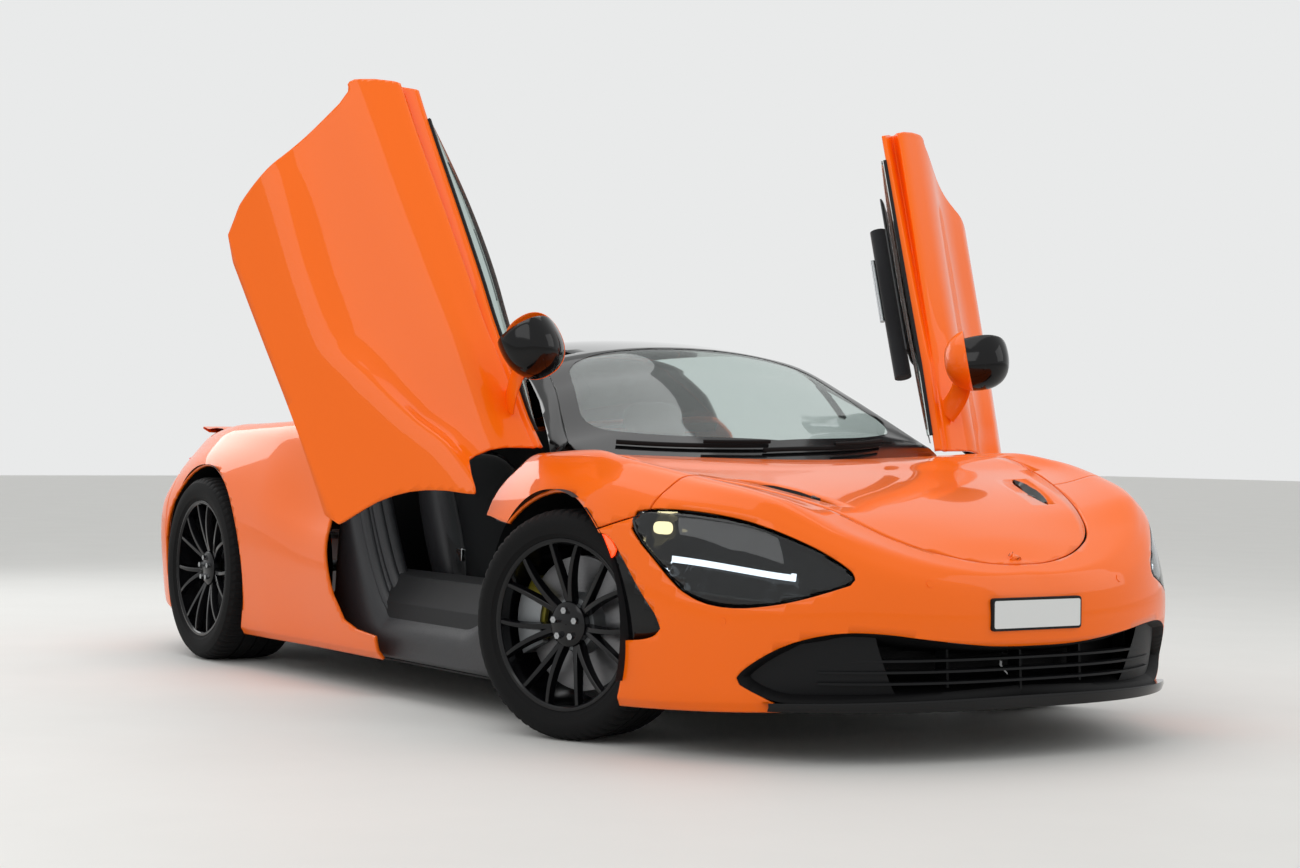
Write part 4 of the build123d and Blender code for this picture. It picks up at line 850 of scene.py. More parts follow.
def make_front_body(sizes):
    """Fenders, bumper and lid, with their shut lines, and the dark well under them."""
    gap = sizes.shut_gap / 2
    base = front_surface(sizes.station_step)
    skin = front_cut(base)
    lid_line = rounded_outline(both_sides(from_front(LID_OUTLINE)))
    lid = trim(skin, PLAN, lid_line, True, gap, only=beyond(2, LID_FROM_Z))
    lid = trim(lid, PLAN, cowl_outline(), False, gap=.004)
    for side, _ in SIDES:
        lid = trim(lid, PLAN, HOOD_VENT_EDGE * [1, side], False)
    painted("front_lid_skin", lid, "front_lid", sizes.panel_edge, ("front_lid",))
    body = trim(skin, PLAN, lid_line, False, gap, only=beyond(2, LID_FROM_Z))
    ahead = beyond(0, LAMPS_FROM_X)
    for side, _ in SIDES:
        body = trim(body, AHEAD, LAMP_EDGE * [side, 1], False, .003, only=ahead)
    intake = rounded_outline(both_ahead(INTAKE_HALF))
    body = trim(body, AHEAD, intake, False, only=beyond(0, INTAKE_FROM_X))
    split = from_front(FENDER_SPLIT)
    for side, word in SIDES:
        half = clip(body, body[0][:, 1] * side)
        fender = trim(half, SIDE, split, True, gap)
        painted("fender_skin_" + word, fender, edge=sizes.panel_edge, stands_for=("fender_" + word,))
    bumper = trim(body, SIDE, split, False, gap)
    bumper = past(bumper, 0, FRONT_AXLE_X + .10)
    bumper = trim(bumper, SIDE, VENT_EDGE, False, only=beyond(1, VENTS_FROM_Y))
    painted("front_bumper_skin", bumper, edge=sizes.panel_edge, stands_for=("front_bumper",))
    # dark well: the same surface 30 mm in, without the arches, behind every gap
    well = moved_in(front_cut(base), .030)
    well = past(well, 0, FRONT_AXLE_X + .90, -1)
    well = arch_cut(well, .40)
    for side, _ in SIDES:
        well = trim(well, AHEAD, LAMP_EDGE * [side, 1], False, only=ahead)
    piece("front_inner_well", well, "moulded_plastic")


def make_vents(sizes):
    """Black side vents behind the bumper corners, the lid's vents and the side markers."""
    base = front_surface(sizes.station_step)
    panel = trim(base, SIDE, VENT_EDGE, True, .002, only=beyond(1, VENTS_FROM_Y))
    piece("side_vent_panels", moved_in(arch_cut(panel, .378), .010), "black_lacquer", edge=.006)
    upper = past(base, 2, LID_FROM_Z)
    for side, word in SIDES:
        scoop = hollow(upper, PLAN, HOOD_VENT_EDGE * [1, side], .028, .022)
        piece("hood_vent_" + word, scoop, "black_lacquer", "front_lid")
        half = clip(base, base[0][:, 1] * side - .6)
        marker = trim(half, SIDE, rounded_outline(from_front(MARKER_OUTLINE), 1))
        piece("side_marker_" + word, moved_in(arch_cut(marker, .380), .002), "amber_acrylic", edge=.006)


def make_headlamps(sizes):
    """Each lamp: sunk black socket, light guide on a fin, projectors, clear cover flush with the body."""
    base = front_surface(sizes.station_step)
    ahead = past(base, 0, LAMPS_FROM_X)
    for side, word in SIDES:
        shape = LAMP_EDGE * [side, 1]
        socket = hollow(ahead, AHEAD, shape, .060, .022)
        piece("lamp_socket_" + word, socket, "black_lacquer", stands_for=("headlamps",) if side > 0 else ())
        cover = moved_in(trim(ahead, AHEAD, shape, True, .003), .002)
        piece("lamp_cover_" + word, cover, "clear_lens", edge=.003)
        deep = moved_in(ahead, .030)
        row = smooth_path([point_on(deep, AHEAD, (side * y, z)) for y, z in np.linspace(*DAY_LAMP, 24)], 1)
        solid("day_lamp_" + word, sweep(row + [.004, 0, 0], flat(.005, .010)[:, ::-1]), "lit_guide")
        solid("lamp_fin_" + word, sweep(row + [-.012, 0, .012], flat(.002, .026)), "display_glass")
        for number, (y, z) in enumerate(PROJECTORS):
            x0, y0, z0 = point_on(moved_in(ahead, .040), AHEAD, (side * y, z))
            square = rounded_outline(flat(.019, .017) + [y0, z0])
            solid("projector_%s_%d" % (word, number), prism(square, x0 - .03, x0 + .012, axis=0),
                  "display_glass" if number else "lit_projector", bevel=.002)


def nose_line(half_width, inset=0.0):
    """Points along the plan of the nose out to a half width, moved in by an inset."""
    theta = np.linspace(0, math.pi / 2, 200)
    y = HALF_WIDTH * np.maximum(np.cos(theta), 0) ** NOSE_COSINE_POWER
    x = NOSE_ROUND_X + (NOSE_X - NOSE_ROUND_X) * np.sin(theta) ** NOSE_SINE_POWER - inset
    keep = y < half_width
    half = np.stack([x[keep], y[keep] * (1 - inset / HALF_WIDTH)], 1)
    half[-1, 1] = 0
    return np.vstack([half, (half[:-1] * [1, -1])[::-1]])


def make_intake(sizes):
    """Low intake: duct, slats and posts, and the splitter that runs under it."""
    base = front_surface(sizes.station_step)
    ahead = past(base, 0, INTAKE_FROM_X)
    mouth = rounded_outline(both_ahead([(y, max(z, .160)) for y, z in INTAKE_HALF]))
    piece("intake_duct", hollow(ahead, AHEAD, mouth, .120, .060), "powder_coat", stands_for=("front_grille",))
    sheets = []
    for z in SLATS_Z:
        line = nose_line(.62, .062)
        path = np.column_stack([line, np.full(len(line), z)])
        sheets.append(sweep(path, flat(.003, .020)))
    solid("intake_slats", join(*sheets), "moulded_plastic")
    posts = []
    for y in POSTS_Y:
        x = NOSE_X - .075 - y * y * .42
        posts.append(prism([(x - .04, .17), (x + .012, .17), (x + .004, .325), (x - .04, .325)],
                           y - .004, y + .004))
    solid("intake_posts", join(*posts), "moulded_plastic")
    edge, root = nose_line(SPLITTER_REACH, .012), nose_line(SPLITTER_REACH, .190)
    s = np.abs(edge[:, 1]) / SPLITTER_REACH
    top = .176 - .012 * s ** 2
    rows = [np.column_stack([root, top - .014]), np.column_stack([edge - [.05, 0], top - .004]),
            np.column_stack([edge, top]), np.column_stack([edge + [.002, 0], top - .010]),
            np.column_stack([edge - [.004, 0], .142 + 0 * top]), np.column_stack([root, .122 + 0 * top])]
    solid("splitter_blade", sheet_of(np.stack(rows, 1), True), "black_lacquer",
          stands_for=("front_splitter",), slot="gloss_black")


def make_nose_details(sizes):
    """Bare number plate with its holder, and the parking sensors."""
    for name, half, low, high, radius, back, front, kind, bevel in PLATE:
        solid(name, prism(rounded_box(-half, half, low, high, radius), NOSE_X + back, NOSE_X + front, axis=0),
              kind, bevel=bevel)
    base = front_surface(sizes.station_step)
    out = normals_of(*base)
    for number, (y, z) in enumerate(PARK_SENSORS):
        centre = point_on(base, AHEAD, (y, z))
        n = out[np.linalg.norm(base[0] - centre, axis=1).argmin()]
        cap = bar(centre - n * .004, centre + n * .0012, .010, 32)
        painted("park_sensor_%d" % number, cap, closed=True)


def make_rear_body(sizes):
    """Quarter panels and rear bumper, less arches, the doors' room, the rear glass and the deck's frame."""
    gap = sizes.shut_gap / 2
    base = rear_surface(sizes.station_step)
    skin = arch_cut(base, .392, REAR_AXLE_X, REAR_RADIUS)
    skin = trim(skin, SIDE, DOOR_EDGE, False, gap=.010, only=beyond(1, .4))
    under_glass = both_sides([(.2, .60), (.2, .72), (-.6, .70), (-1.16, .50), (-1.34, .30), (-1.34, 0)][::-1])
    skin = trim(skin, PLAN, under_glass, False, only=beyond(2, DECK_FROM_Z))
    deck = both_sides([(DECK_FRAME[0][0], 0), (DECK_FRAME[0][0], .45), (-1.186, .45), (-1.186, 0)])
    body = trim(skin, PLAN, rounded_outline(deck, 1), False, gap, only=beyond(2, DECK_FROM_Z))
    low = np.array([(-2.4, .0), (-1.786, .0), (-1.786, .700), (-2.4, .700)])
    for side, word in SIDES:
        half = clip(body, body[0][:, 1] * side)
        quarter = trim(half, SIDE, low, False, gap)
        painted("quarter_skin_" + word, quarter, edge=sizes.panel_edge, stands_for=("quarter_" + word,))
    bumper = trim(body, SIDE, low, True, gap)
    painted("rear_bumper_skin", bumper, edge=sizes.panel_edge, stands_for=("rear_bumper",))


def make_arches(sizes):
    """Plastic housings over the wheels: half turns of a strip that ends just inside the body side."""
    a = np.linspace(-.35, math.pi + .35, 90)[:, None]
    y = np.linspace(.58, HALF_WIDTH, 30)[None, :]
    nose = nose_line(HALF_WIDTH - .001)[:200][::-1]
    for word, axle, height, radius in (("front", FRONT_AXLE_X, FRONT_RADIUS, .382),
                                       ("rear", REAR_AXLE_X, REAR_RADIUS, .396)):
        v, t = sheet_of(np.stack([axle + radius * np.cos(a) + 0 * y, 0 * a + y,
                                  height + radius * np.sin(a) + 0 * y], 2))
        if word == "front":
            reach = np.where(v[:, 0] < NOSE_ROUND_X, HALF_WIDTH, np.interp(v[:, 0], *nose.T))
        else:
            reach = HALF_WIDTH * tail_share(v[:, 0])
        strip = clip((v, t), reach - .030 - v[:, 1])
        strip = past(strip, 2, .125)
        for side, hand in SIDES:
            piece("arch_%s_%s" % (word, hand), strip if side > 0 else flip_y(strip), "moulded_plastic")


def make_glasshouse(sizes):
    """Windscreen with its black border, roof, pillars and rear glass, all cut from one canopy."""
    shell = canopy_surface(sizes.station_step)
    front = past(shell, 0, HEADER_X + .02)
    pillar = from_front(PILLAR_LINE)
    screen_half = np.vstack([[(1.30, 0)], [(1.30, .70)], pillar - [0, .004], [(HEADER_X + .02, .0)]])
    screen = trim(front, PLAN, both_sides(screen_half))
    screen = past(screen, 2, .745)
    piece("windscreen_glass", screen, "tinted_glass", edge=.005, stands_for=("windscreen",),
          slot="glass_tint")
    # black ceramic border of the screen, 1 mm proud of it
    inner = rounded_outline(both_sides([(1.06, 0), (1.03, .25), (.97, .45), (.87, .60), (.70, .53),
                                        (.50, .455), (.50, 0)]))
    border = trim((screen[0] + normals_of(*screen) * .0012, screen[1]), PLAN, inner, False)
    piece("windscreen_border", border, "black_lacquer")
    # roof: spine, header and rear hoop
    spine = past(past(shell, 0, HEADER_X + .02, -1), 0, ROOF_REAR_X - .06)
    hatch = np.array([(ROOF_REAR_X - .006, ROOF_CUT_Y - .006), (HEADER_X - .008, ROOF_CUT_Y - .006),
                      (HEADER_X - .008, .9), (ROOF_REAR_X - .006, .9)])
    for side, _ in SIDES:
        spine = trim(spine, PLAN, hatch * [1, side], False)
    spine = trim(past(spine, 2, .88), SIDE, DOOR_EDGE, False, gap=.020, only=outboard)
    piece("roof_skin", spine, "smoked_glass", edge=.012, stands_for=("roof",), slot="gloss_black")
    strip_plan = np.vstack([pillar - [0, .003], (pillar + [0, .055])[::-1]])
    strip = trim(front, PLAN, strip_plan)
    piece("pillar_left", strip, "black_lacquer", edge=.012)
    piece("pillar_right", flip_y(strip), "black_lacquer", edge=.012)
    rear = past(past(shell, 0, ROOF_REAR_X - .062, -1), 2, .885)
    rear = trim(rear, SIDE, DOOR_EDGE, False, gap=.016, only=outboard)
    piece("rear_glass_skin", rear, "smoked_glass", edge=.005, stands_for=("rear_glass",), slot="glass_tint")


DOOR_SHARE = (0, .55, .8, .75, .7, .5, .5, 0)


def door_lines(x):
    """Left door's lines at x, shut: bottom, ridge, valley, crease, bar top, channel, strip, glass."""
    table = np.asarray(DOOR_SECTIONS)
    bottom, ridge, valley, crease, belt = smooth_rows(table[:, 0], table[:, 1:], x - FRONT_AXLE_X).T
    depth = np.clip((FRONT_AXLE_X - .72 - x) / 1.0, 0, 1) ** .8 * .085
    y = np.stack([0 * x + HALF_WIDTH - .038, 0 * x + HALF_WIDTH - .014, 0 * x + HALF_WIDTH - .082,
                  0 * x + HALF_WIDTH - .103, 0 * x + HALF_WIDTH - .186, HALF_WIDTH - .196 - depth * .2,
                  HALF_WIDTH - .205 - depth * .35, HALF_WIDTH - .230 - depth * .2], 1)
    z = np.stack([bottom - .03, ridge, valley, crease, belt - .010, belt - .012 - depth, belt + .002,
                  belt + .006], 1)
    return np.stack([np.repeat(x[:, None], 8, 1), y, z], 2)


def door_surface(step):
    """Outside of the shut left door."""
    return sheet_of(rounded_profile(door_lines(np.arange(*DOOR_X, step)), DOOR_SHARE, bend=9, run=6)[:, ::-1])


def make_doors(sizes):
    """Both doors, drawn shut and turned open: skin, inner trim, seal, lowered pane, mirror and card."""
    skin = trim(door_surface(sizes.station_step), SIDE, DOOR_EDGE)
    low = rounded_profile(door_lines(np.arange(*DOOR_X, sizes.station_step))[:, :4], DOOR_SHARE[:3] + (0,),
                          bend=9, run=6)[:, ::-1]
    inner = moved_in(trim(sheet_of(low), SIDE, DOOR_EDGE, gap=.012), .040)
    x = np.arange(FRONT_AXLE_X - 1.520, FRONT_AXLE_X - .440, sizes.station_step)
    lines = door_lines(x)
    belt = lines[:, 7]
    rise = .040 * np.sin(math.pi * np.linspace(0, 1, len(x))) ** .8
    pane = sheet_of(np.stack([belt + [0, -.016, -.050], belt + [0, -.016, 0],
                              belt + np.column_stack([0 * x, -.018 - rise * .3, rise])], 1))
    seal = sweep(belt + [0, -.004, .003], flat(.005, .006))
    for side, word in SIDES:
        body = "door_" + word
        shape = opened if side > 0 else lambda surface: flip_y(opened(surface))
        painted("door_skin_" + word, shape(skin), body, .008, ("door_" + word,))
        piece("door_trim_" + word, shape(inner), "grained_leather", body, edge=.004)
        solid("door_seal_" + word, shape(seal), "moulded_plastic", body)
        piece("door_pane_" + word, shape(pane), "tinted_glass", body, edge=.004,
              stands_for=("door_glass_" + word,), slot="glass_tint")
        make_mirror(word, shape, body)
        make_door_inside(word, shape, body, lines)


def egg(centre, radii, rows=28, columns=40, power=1.0, taper=0.0):
    """Rounded solid from powers of sine and cosine; a power under 1 squares it, taper narrows one end."""
    u = np.linspace(-math.pi / 2, math.pi / 2, rows)[:, None]
    w = np.linspace(0, 2 * math.pi, columns, endpoint=False)[None, :]

    def signed(q):
        """Power that keeps the sign."""
        return np.sign(q) * np.abs(q) ** power

    x, y, z = (signed(np.cos(u)) * signed(np.cos(w)), signed(np.cos(u)) * signed(np.sin(w)),
               signed(np.sin(u)) + 0 * w)
    narrow = 1 - taper * (y + 1) / 2
    v = np.stack([x * radii[0] * narrow, y * radii[1], z * radii[2] * narrow], 2).reshape(-1, 3) + centre
    return v, grid_triangles(rows, columns, close_columns=True)


def make_mirror(word, shape, body):
    """Mirror: black housing, painted inner shell, glass behind, and the stalk down to the door."""
    shell = egg(MIRROR, (.098, .104, .082), power=.85, taper=-.10)
    housing = past(shell, 0, MIRROR[0] - .035)
    piece("mirror_housing_" + word, shape(housing), "black_lacquer", body, edge=.003,
          stands_for=("mirror_" + word,), slot="gloss_black")
    glass = egg(MIRROR + [-.034, 0, 0], (.004, .088, .066), 24, 40, power=.85)
    solid("mirror_glass_" + word, shape(glass), "mirror_glass", body)
    under = egg(MIRROR, (.100, .106, .084), power=.85, taper=-.10)
    painted("mirror_shell_" + word, shape(past(under, 1, MIRROR[1] - .028, -1)), body, .002)
    s = np.linspace(0, 1, 20)[:, None]
    foot, head = np.array([.735, .790, .762]), MIRROR + [.004, -.055, -.030]
    path = foot * (1 - s) + head * s + [0, .022, -.004] * np.sin(s * math.pi)
    painted("mirror_stalk_" + word, shape(sweep(path, circle((.011, .042), 20))), body, closed=True)


def make_door_inside(word, shape, body, lines):
    """Padded card, armrest and pull on the door's inner side."""
    belt = lines[:, 7]
    low = lines[:, 2]
    s = np.linspace(0, 1, 30)[None, :, None]
    top = belt + [0, -.040, -.010]
    foot = low * [1, 0, 1] + [0, HALF_WIDTH - .160, -.06]
    card = top[:, None] * (1 - s) + foot[:, None] * s + np.array([0, -.018, 0]) * np.sin(s * math.pi * 2) ** 2
    piece("door_card_" + word, shape(sheet_of(card[14:-34])), "grained_leather", body, edge=.006)
    run = belt[20:80:2] + [0, -.075, -.110]
    solid("door_armrest_" + word, shape(sweep(run, circle((.022, .030), 16))), "suede_microfibre", body)
    grip = belt[34:60:2] + [0, -.110, -.070]
    solid("door_pull_" + word, shape(sweep(grip, circle(.009, 12))), "brushed_steel", body)


# ---------------------------------------------------------------- wheels
def placed(surface, centre, steer=0.0):
    """Turned about the vertical through the origin, then moved to a centre."""
    v, t = surface
    return turn(v, np.zeros(3), (0, 0, 1), steer) + centre, t


def tyre_surface(radius, rim, width, blocks):
    """Tyre outline turned about the axle, with grooves and side ribs in the outline."""
    h, groove = width / 2, .007
    tread = []
    for y in h * .72 * np.array([-.5, 0, .5]):
        tread += [(y - .005, radius), (y - .004, radius - groove), (y + .004, radius - groove),
                  (y + .005, radius)]
    outline = [(-h + .020, rim - .012), (-h + .006, rim + .010), (-h, radius * .88),
               (-h + .006, radius - .020), (-h + .020, radius - .006), (-h + .040, radius), *tread,
               (h - .040, radius), (h - .020, radius - .006), (h - .006, radius - .020), (h, radius * .88),
               (h - .002, rim + .030), (h - .006, rim + .012), (h - .014, rim + .004), (h - .020, rim - .012)]
    v, t = spun(outline, blocks * 4)
    ring = np.repeat(np.arange(blocks * 4), len(outline))
    reach = np.hypot(v[:, 0], v[:, 2])
    sipe = (ring % 4 == 0) & (reach > radius - groove) & (np.abs(v[:, 1]) > h * .5)
    v[sipe] *= np.array([1, 0, 1]) * (1 - .005 / radius) + np.array([0, 1, 0])
    return v, t


def rim_surface(radius, width):
    """Barrel, hub and pairs of leaning spokes that narrow outwards, and the wheel nuts apart."""
    h = width / 2 - .014
    parts = [spun([(-h, radius), (-h, radius - .010), (-h + .012, radius - .014), (h - .030, radius - .016),
                   (h - .006, radius - .016), (h, radius - .010), (h, radius - .001), (h - .01, radius)],
                  128),
             spun([(h - .072, .001), (h - .072, .060), (h - .030, .064), (h - .022, .050), (h - .022, .001)],
                  64)]
    section = np.array([(-1, -1), (-.55, 1), (.55, 1), (1, -1)])[None]
    r = np.linspace(SPOKE_ROOT, radius - .012, 24)
    s = (r - SPOKE_ROOT) / (radius - SPOKE_ROOT - .012)
    for k in range(RIM_PAIRS):
        for lean in (-1, 1):
            a = 2 * math.pi * k / RIM_PAIRS + lean * (.10 + .24 * s) * .62
            y = h - .034 + .018 * np.sin(s * math.pi * .5) - .020 * (1 - s) ** 2
            path = np.stack([r * np.sin(a), y, r * np.cos(a)], 1)
            across = np.stack([np.cos(a), 0 * a, -np.sin(a)], 1)
            wide, deep = (.014 - .004 * s)[:, None, None], (.020 - .006 * s)[:, None, None]
            parts.append(sheet_of(path[:, None] + across[:, None] * section[..., :1] * wide
                                  + np.array([0, .7, 0]) * section[..., 1:] * deep, True))
    nut = spun([(h - .03, .001), (h - .03, .011), (h - .010, .010), (h - .010, .001)], 6)
    nuts = [placed(nut, (.040 * math.sin(q), 0, .040 * math.cos(q)))
            for q in np.linspace(0, 2 * math.pi, 6)[:-1]]
    return join(*parts), join(*nuts)


def make_wheels(sizes):
    """Four tyres, rims, discs and calipers; calipers sit behind the front hubs and ahead of the rear ones."""
    disc = spun([(-.017, .085), (-.017, .192), (-.007, .192), (-.007, .190), (.007, .190), (.007, .192),
                 (.017, .192), (.017, .085)], 96)
    bell = spun([(.017, .001), (.017, .090), (.030, .084), (.052, .075), (.052, .001)], 64)
    for word, carrier, centre, radius, rim, width, steer, side, aim in WHEELS:
        wheel, nuts = rim_surface(rim, width)
        turned = steer + (math.pi if side < 0 else 0)
        for name, surface, kind, more in (
                ("tyre_skin_", tyre_surface(radius, rim, width, sizes.tyre_blocks), "vulcanised_rubber",
                 {"stands_for": ("tyre_" + word,), "slot": "tyre_rubber", "sharp": 28}),
                ("rim_skin_", wheel, "black_alloy",
                 {"stands_for": ("rim_" + word,), "slot": "rim_black", "bevel": .0015}),
                ("wheel_nuts_", nuts, "brushed_steel", {}),
                ("brake_disc_", disc, "ground_iron", {}),
                ("disc_bell_", bell, "cast_aluminium", {})):
            solid(name + word, placed(surface, centre, turned), kind, "wheel_" + word, **more)
    for word, carrier, centre, radius, rim, width, steer, side, aim in WHEELS:
        section = CALIPER_SECTION * [side, 1]
        a = aim + np.linspace(-.52, .52, 40)
        v, t = sheet_of(np.stack([np.outer(np.cos(a), section[:, 1]), np.tile(section[:, 0], (len(a), 1)),
                                  np.outer(np.sin(a), section[:, 1])], 2), True)
        k = np.arange(1, len(section) - 1)
        last = len(v) - len(section)
        t = np.vstack([t, np.stack([0 * k, k, k + 1], 1),
                       np.stack([0 * k + last, last + k + 1, last + k], 1)])
        solid("caliper_" + word, placed((v, t), centre, steer), "caliper_enamel", carrier, bevel=.003)


# ---------------------------------------------------------------- tail
def make_tail(sizes):
    """Painted tail shell, dark panel with mesh, lamp blades, wing, deck slats, diffuser and exhausts."""
    face = tail_face()
    body = rear_surface(sizes.station_step)
    panel = rounded_outline(both_ahead(TAIL_PANEL))
    painted("tail_shell", trim(face, AHEAD, panel, False))
    recess = trim(face, AHEAD, panel, True, .001)
    s = np.clip(inside_distance(recess[0][:, AHEAD], panel) / .03, 0, 1)[:, None]
    piece("tail_recess", (recess[0] + [.045, 0, 0] * s, recess[1]), "powder_coat",
          stands_for=("rear_grille",))
    bars = []
    for z in np.arange(.455, .700, .022):
        reach = .47 + (z - .45) * .3
        bars.append(brick(TAIL_X + .020, TAIL_X + .040, -reach, reach, z, z + .004))
    for y in np.arange(-.48, .49, .04):
        bars.append(brick(TAIL_X + .022, TAIL_X + .036, y, y + .004, .452, .700))
    solid("tail_mesh", join(*bars), "powder_coat")
    for side, word in SIDES:
        corner = [point_on(body, SIDE, (x, .745)) for x in np.linspace(TAIL_X + .02, TAIL_X + .30, 24)]
        inner = [(TAIL_X - .002, y, .735) for y in np.linspace(.30, corner[0][1] - .02, 10)]
        path = np.array(inner + corner)
        path[:, 1:] = np.stack([side * (path[:, 1] + .001), .735 + .020 * np.linspace(0, 1, len(path))], 1)
        solid("tail_lamp_" + word, sweep(path, circle((.007, .010), 12)), "red_acrylic",
              stands_for=("tail_lamps",) if side > 0 else ())
        ring, faces = spun([(-.045, .046), (-.045, .052), (.150, .052), (.150, .046)], 64)
        for name, size, x, kind, stands_for in (
                ("exhaust_tip_", 1, .050, "tinted_titanium", ("exhausts",) if side > 0 else ()),
                ("exhaust_core_", (.5, .86, .86), .115, "powder_coat", ())):
            solid(name + word, (ring[:, [1, 0, 2]] * size + [TAIL_X + x, side * .155, .606], faces[:, ::-1]),
                  kind, stands_for=stands_for)
    y = np.linspace(-WING_SPAN, WING_SPAN, 90)
    bow = .030 * (y / WING_SPAN) ** 2
    wing = np.stack([np.stack([WING_X - x + bow * .6, y, WING_Z + z - bow * .1], 1)
                     for x, z in WING_CHORD], 1)
    painted("wing_blade", sheet_of(wing, True), "rear_wing", stands_for=("rear_wing",), closed=True)
    slats = []
    for x in np.linspace(-1.86, -1.38, 11):
        z = .868 + (x + 1.38) * -.02
        slats.append(prism([(x, z), (x + .030, z + .012), (x + .032, z + .009), (x + .003, z - .004)],
                           -.38, .38))
    solid("deck_slats", join(*slats), "moulded_plastic")
    rim = rounded_outline(DECK_FRAME)
    hole = rim * [.94, .88] + [-.097, 0]
    ring = np.stack([np.column_stack([line, np.full(len(rim), z)]) for line, z in (
        (rim, .889), (hole, .880), (hole, .862), (rim, .866))])
    solid("deck_frame",
          (ring.reshape(-1, 3), grid_triangles(4, len(rim), close_rows=True, close_columns=True)),
          "carbon_twill", stands_for=("engine_cover",))
    rear, front = DIFFUSER_X
    fins = [prism([(rear, .130), (-1.92, .118), (-1.92, .130), (rear, .300)], y - .004, y + .004)
            for y in (-.45, -.30, -.15, 0, .15, .30, .45)]
    floor = brick(rear - .005, front, -DIFFUSER_Y, DIFFUSER_Y, .112, .118)
    ramp = prism([(front, .118), (rear, .300), (rear, .306), (front, .124)], -DIFFUSER_Y, DIFFUSER_Y)
    solid("diffuser_tray", join(floor, ramp, *fins), "carbon_twill", stands_for=("diffuser",))


# ---------------------------------------------------------------- cabin
def tilted(surface, centre, angle):
    """Turned about the car's cross axis through a centre, backwards for a positive angle."""
    return turn(surface[0], np.asarray(centre, float), (0, 1, 0), -angle), surface[1]


def make_seats(sizes):
    """Two bucket seats of padded cushions: squab, back, side rolls and headrest on a moulded shell."""
    for side, word in SIDES:
        y = side * SEAT_Y
        for part, middle, radii, power, grid, lean, (pivot_x, pivot_z) in SEAT_PADS:
            form = tilted(egg(np.add(middle, (0, y, 0)), radii, *grid, power), (pivot_x, y, pivot_z), lean)
            pad = solid("seat_%s_%s" % (part, word), form,
                        "suede_microfibre" if part in ("squab", "back") else "grained_leather", levels=1,
                        stands_for=("seats",) if part == "squab" and side > 0 else ())
        shell = tilted(egg((-.185, y, .600), (.060, .225, .330), power=.7), (BACK_PIVOT[0], y, BACK_PIVOT[1]),
                       BACK_LEAN)
        solid("seat_shell_" + word, shell, "carbon_twill")
        solid("seat_pan_" + word, egg((.150, y, .215), (.250, .215, .070), power=.7), "carbon_twill")
        strap = np.array([(-.28, y + side * .20, .78), (-.20, y + side * .19, .62),
                          (-.06, y + side * .21, .40), (.02, y + side * .235, .26)])
        s = np.linspace(0, 3, 40)
        path = np.stack([np.interp(s, range(4), strap[:, k]) for k in range(3)], 1)
        solid("belt_strap_" + word, sweep(path, flat(.001, .023)), "belt_webbing")
        tongue = brick(-.075, -.035, y + side * .20, y + side * .215, .43, .475)
        solid("belt_tongue_" + word, tongue, "brushed_steel", bevel=.003)


def sill_rise(x):
    """Height of the sill's top, which climbs as powers of the way to each end, and the rear one's share."""
    rear = np.clip((-x - .02) / .34, 0, 1) ** 1.6
    front = np.clip((x - .52) / .26, 0, 1) ** 2
    return rear, .262 + .40 * rear + .16 * front


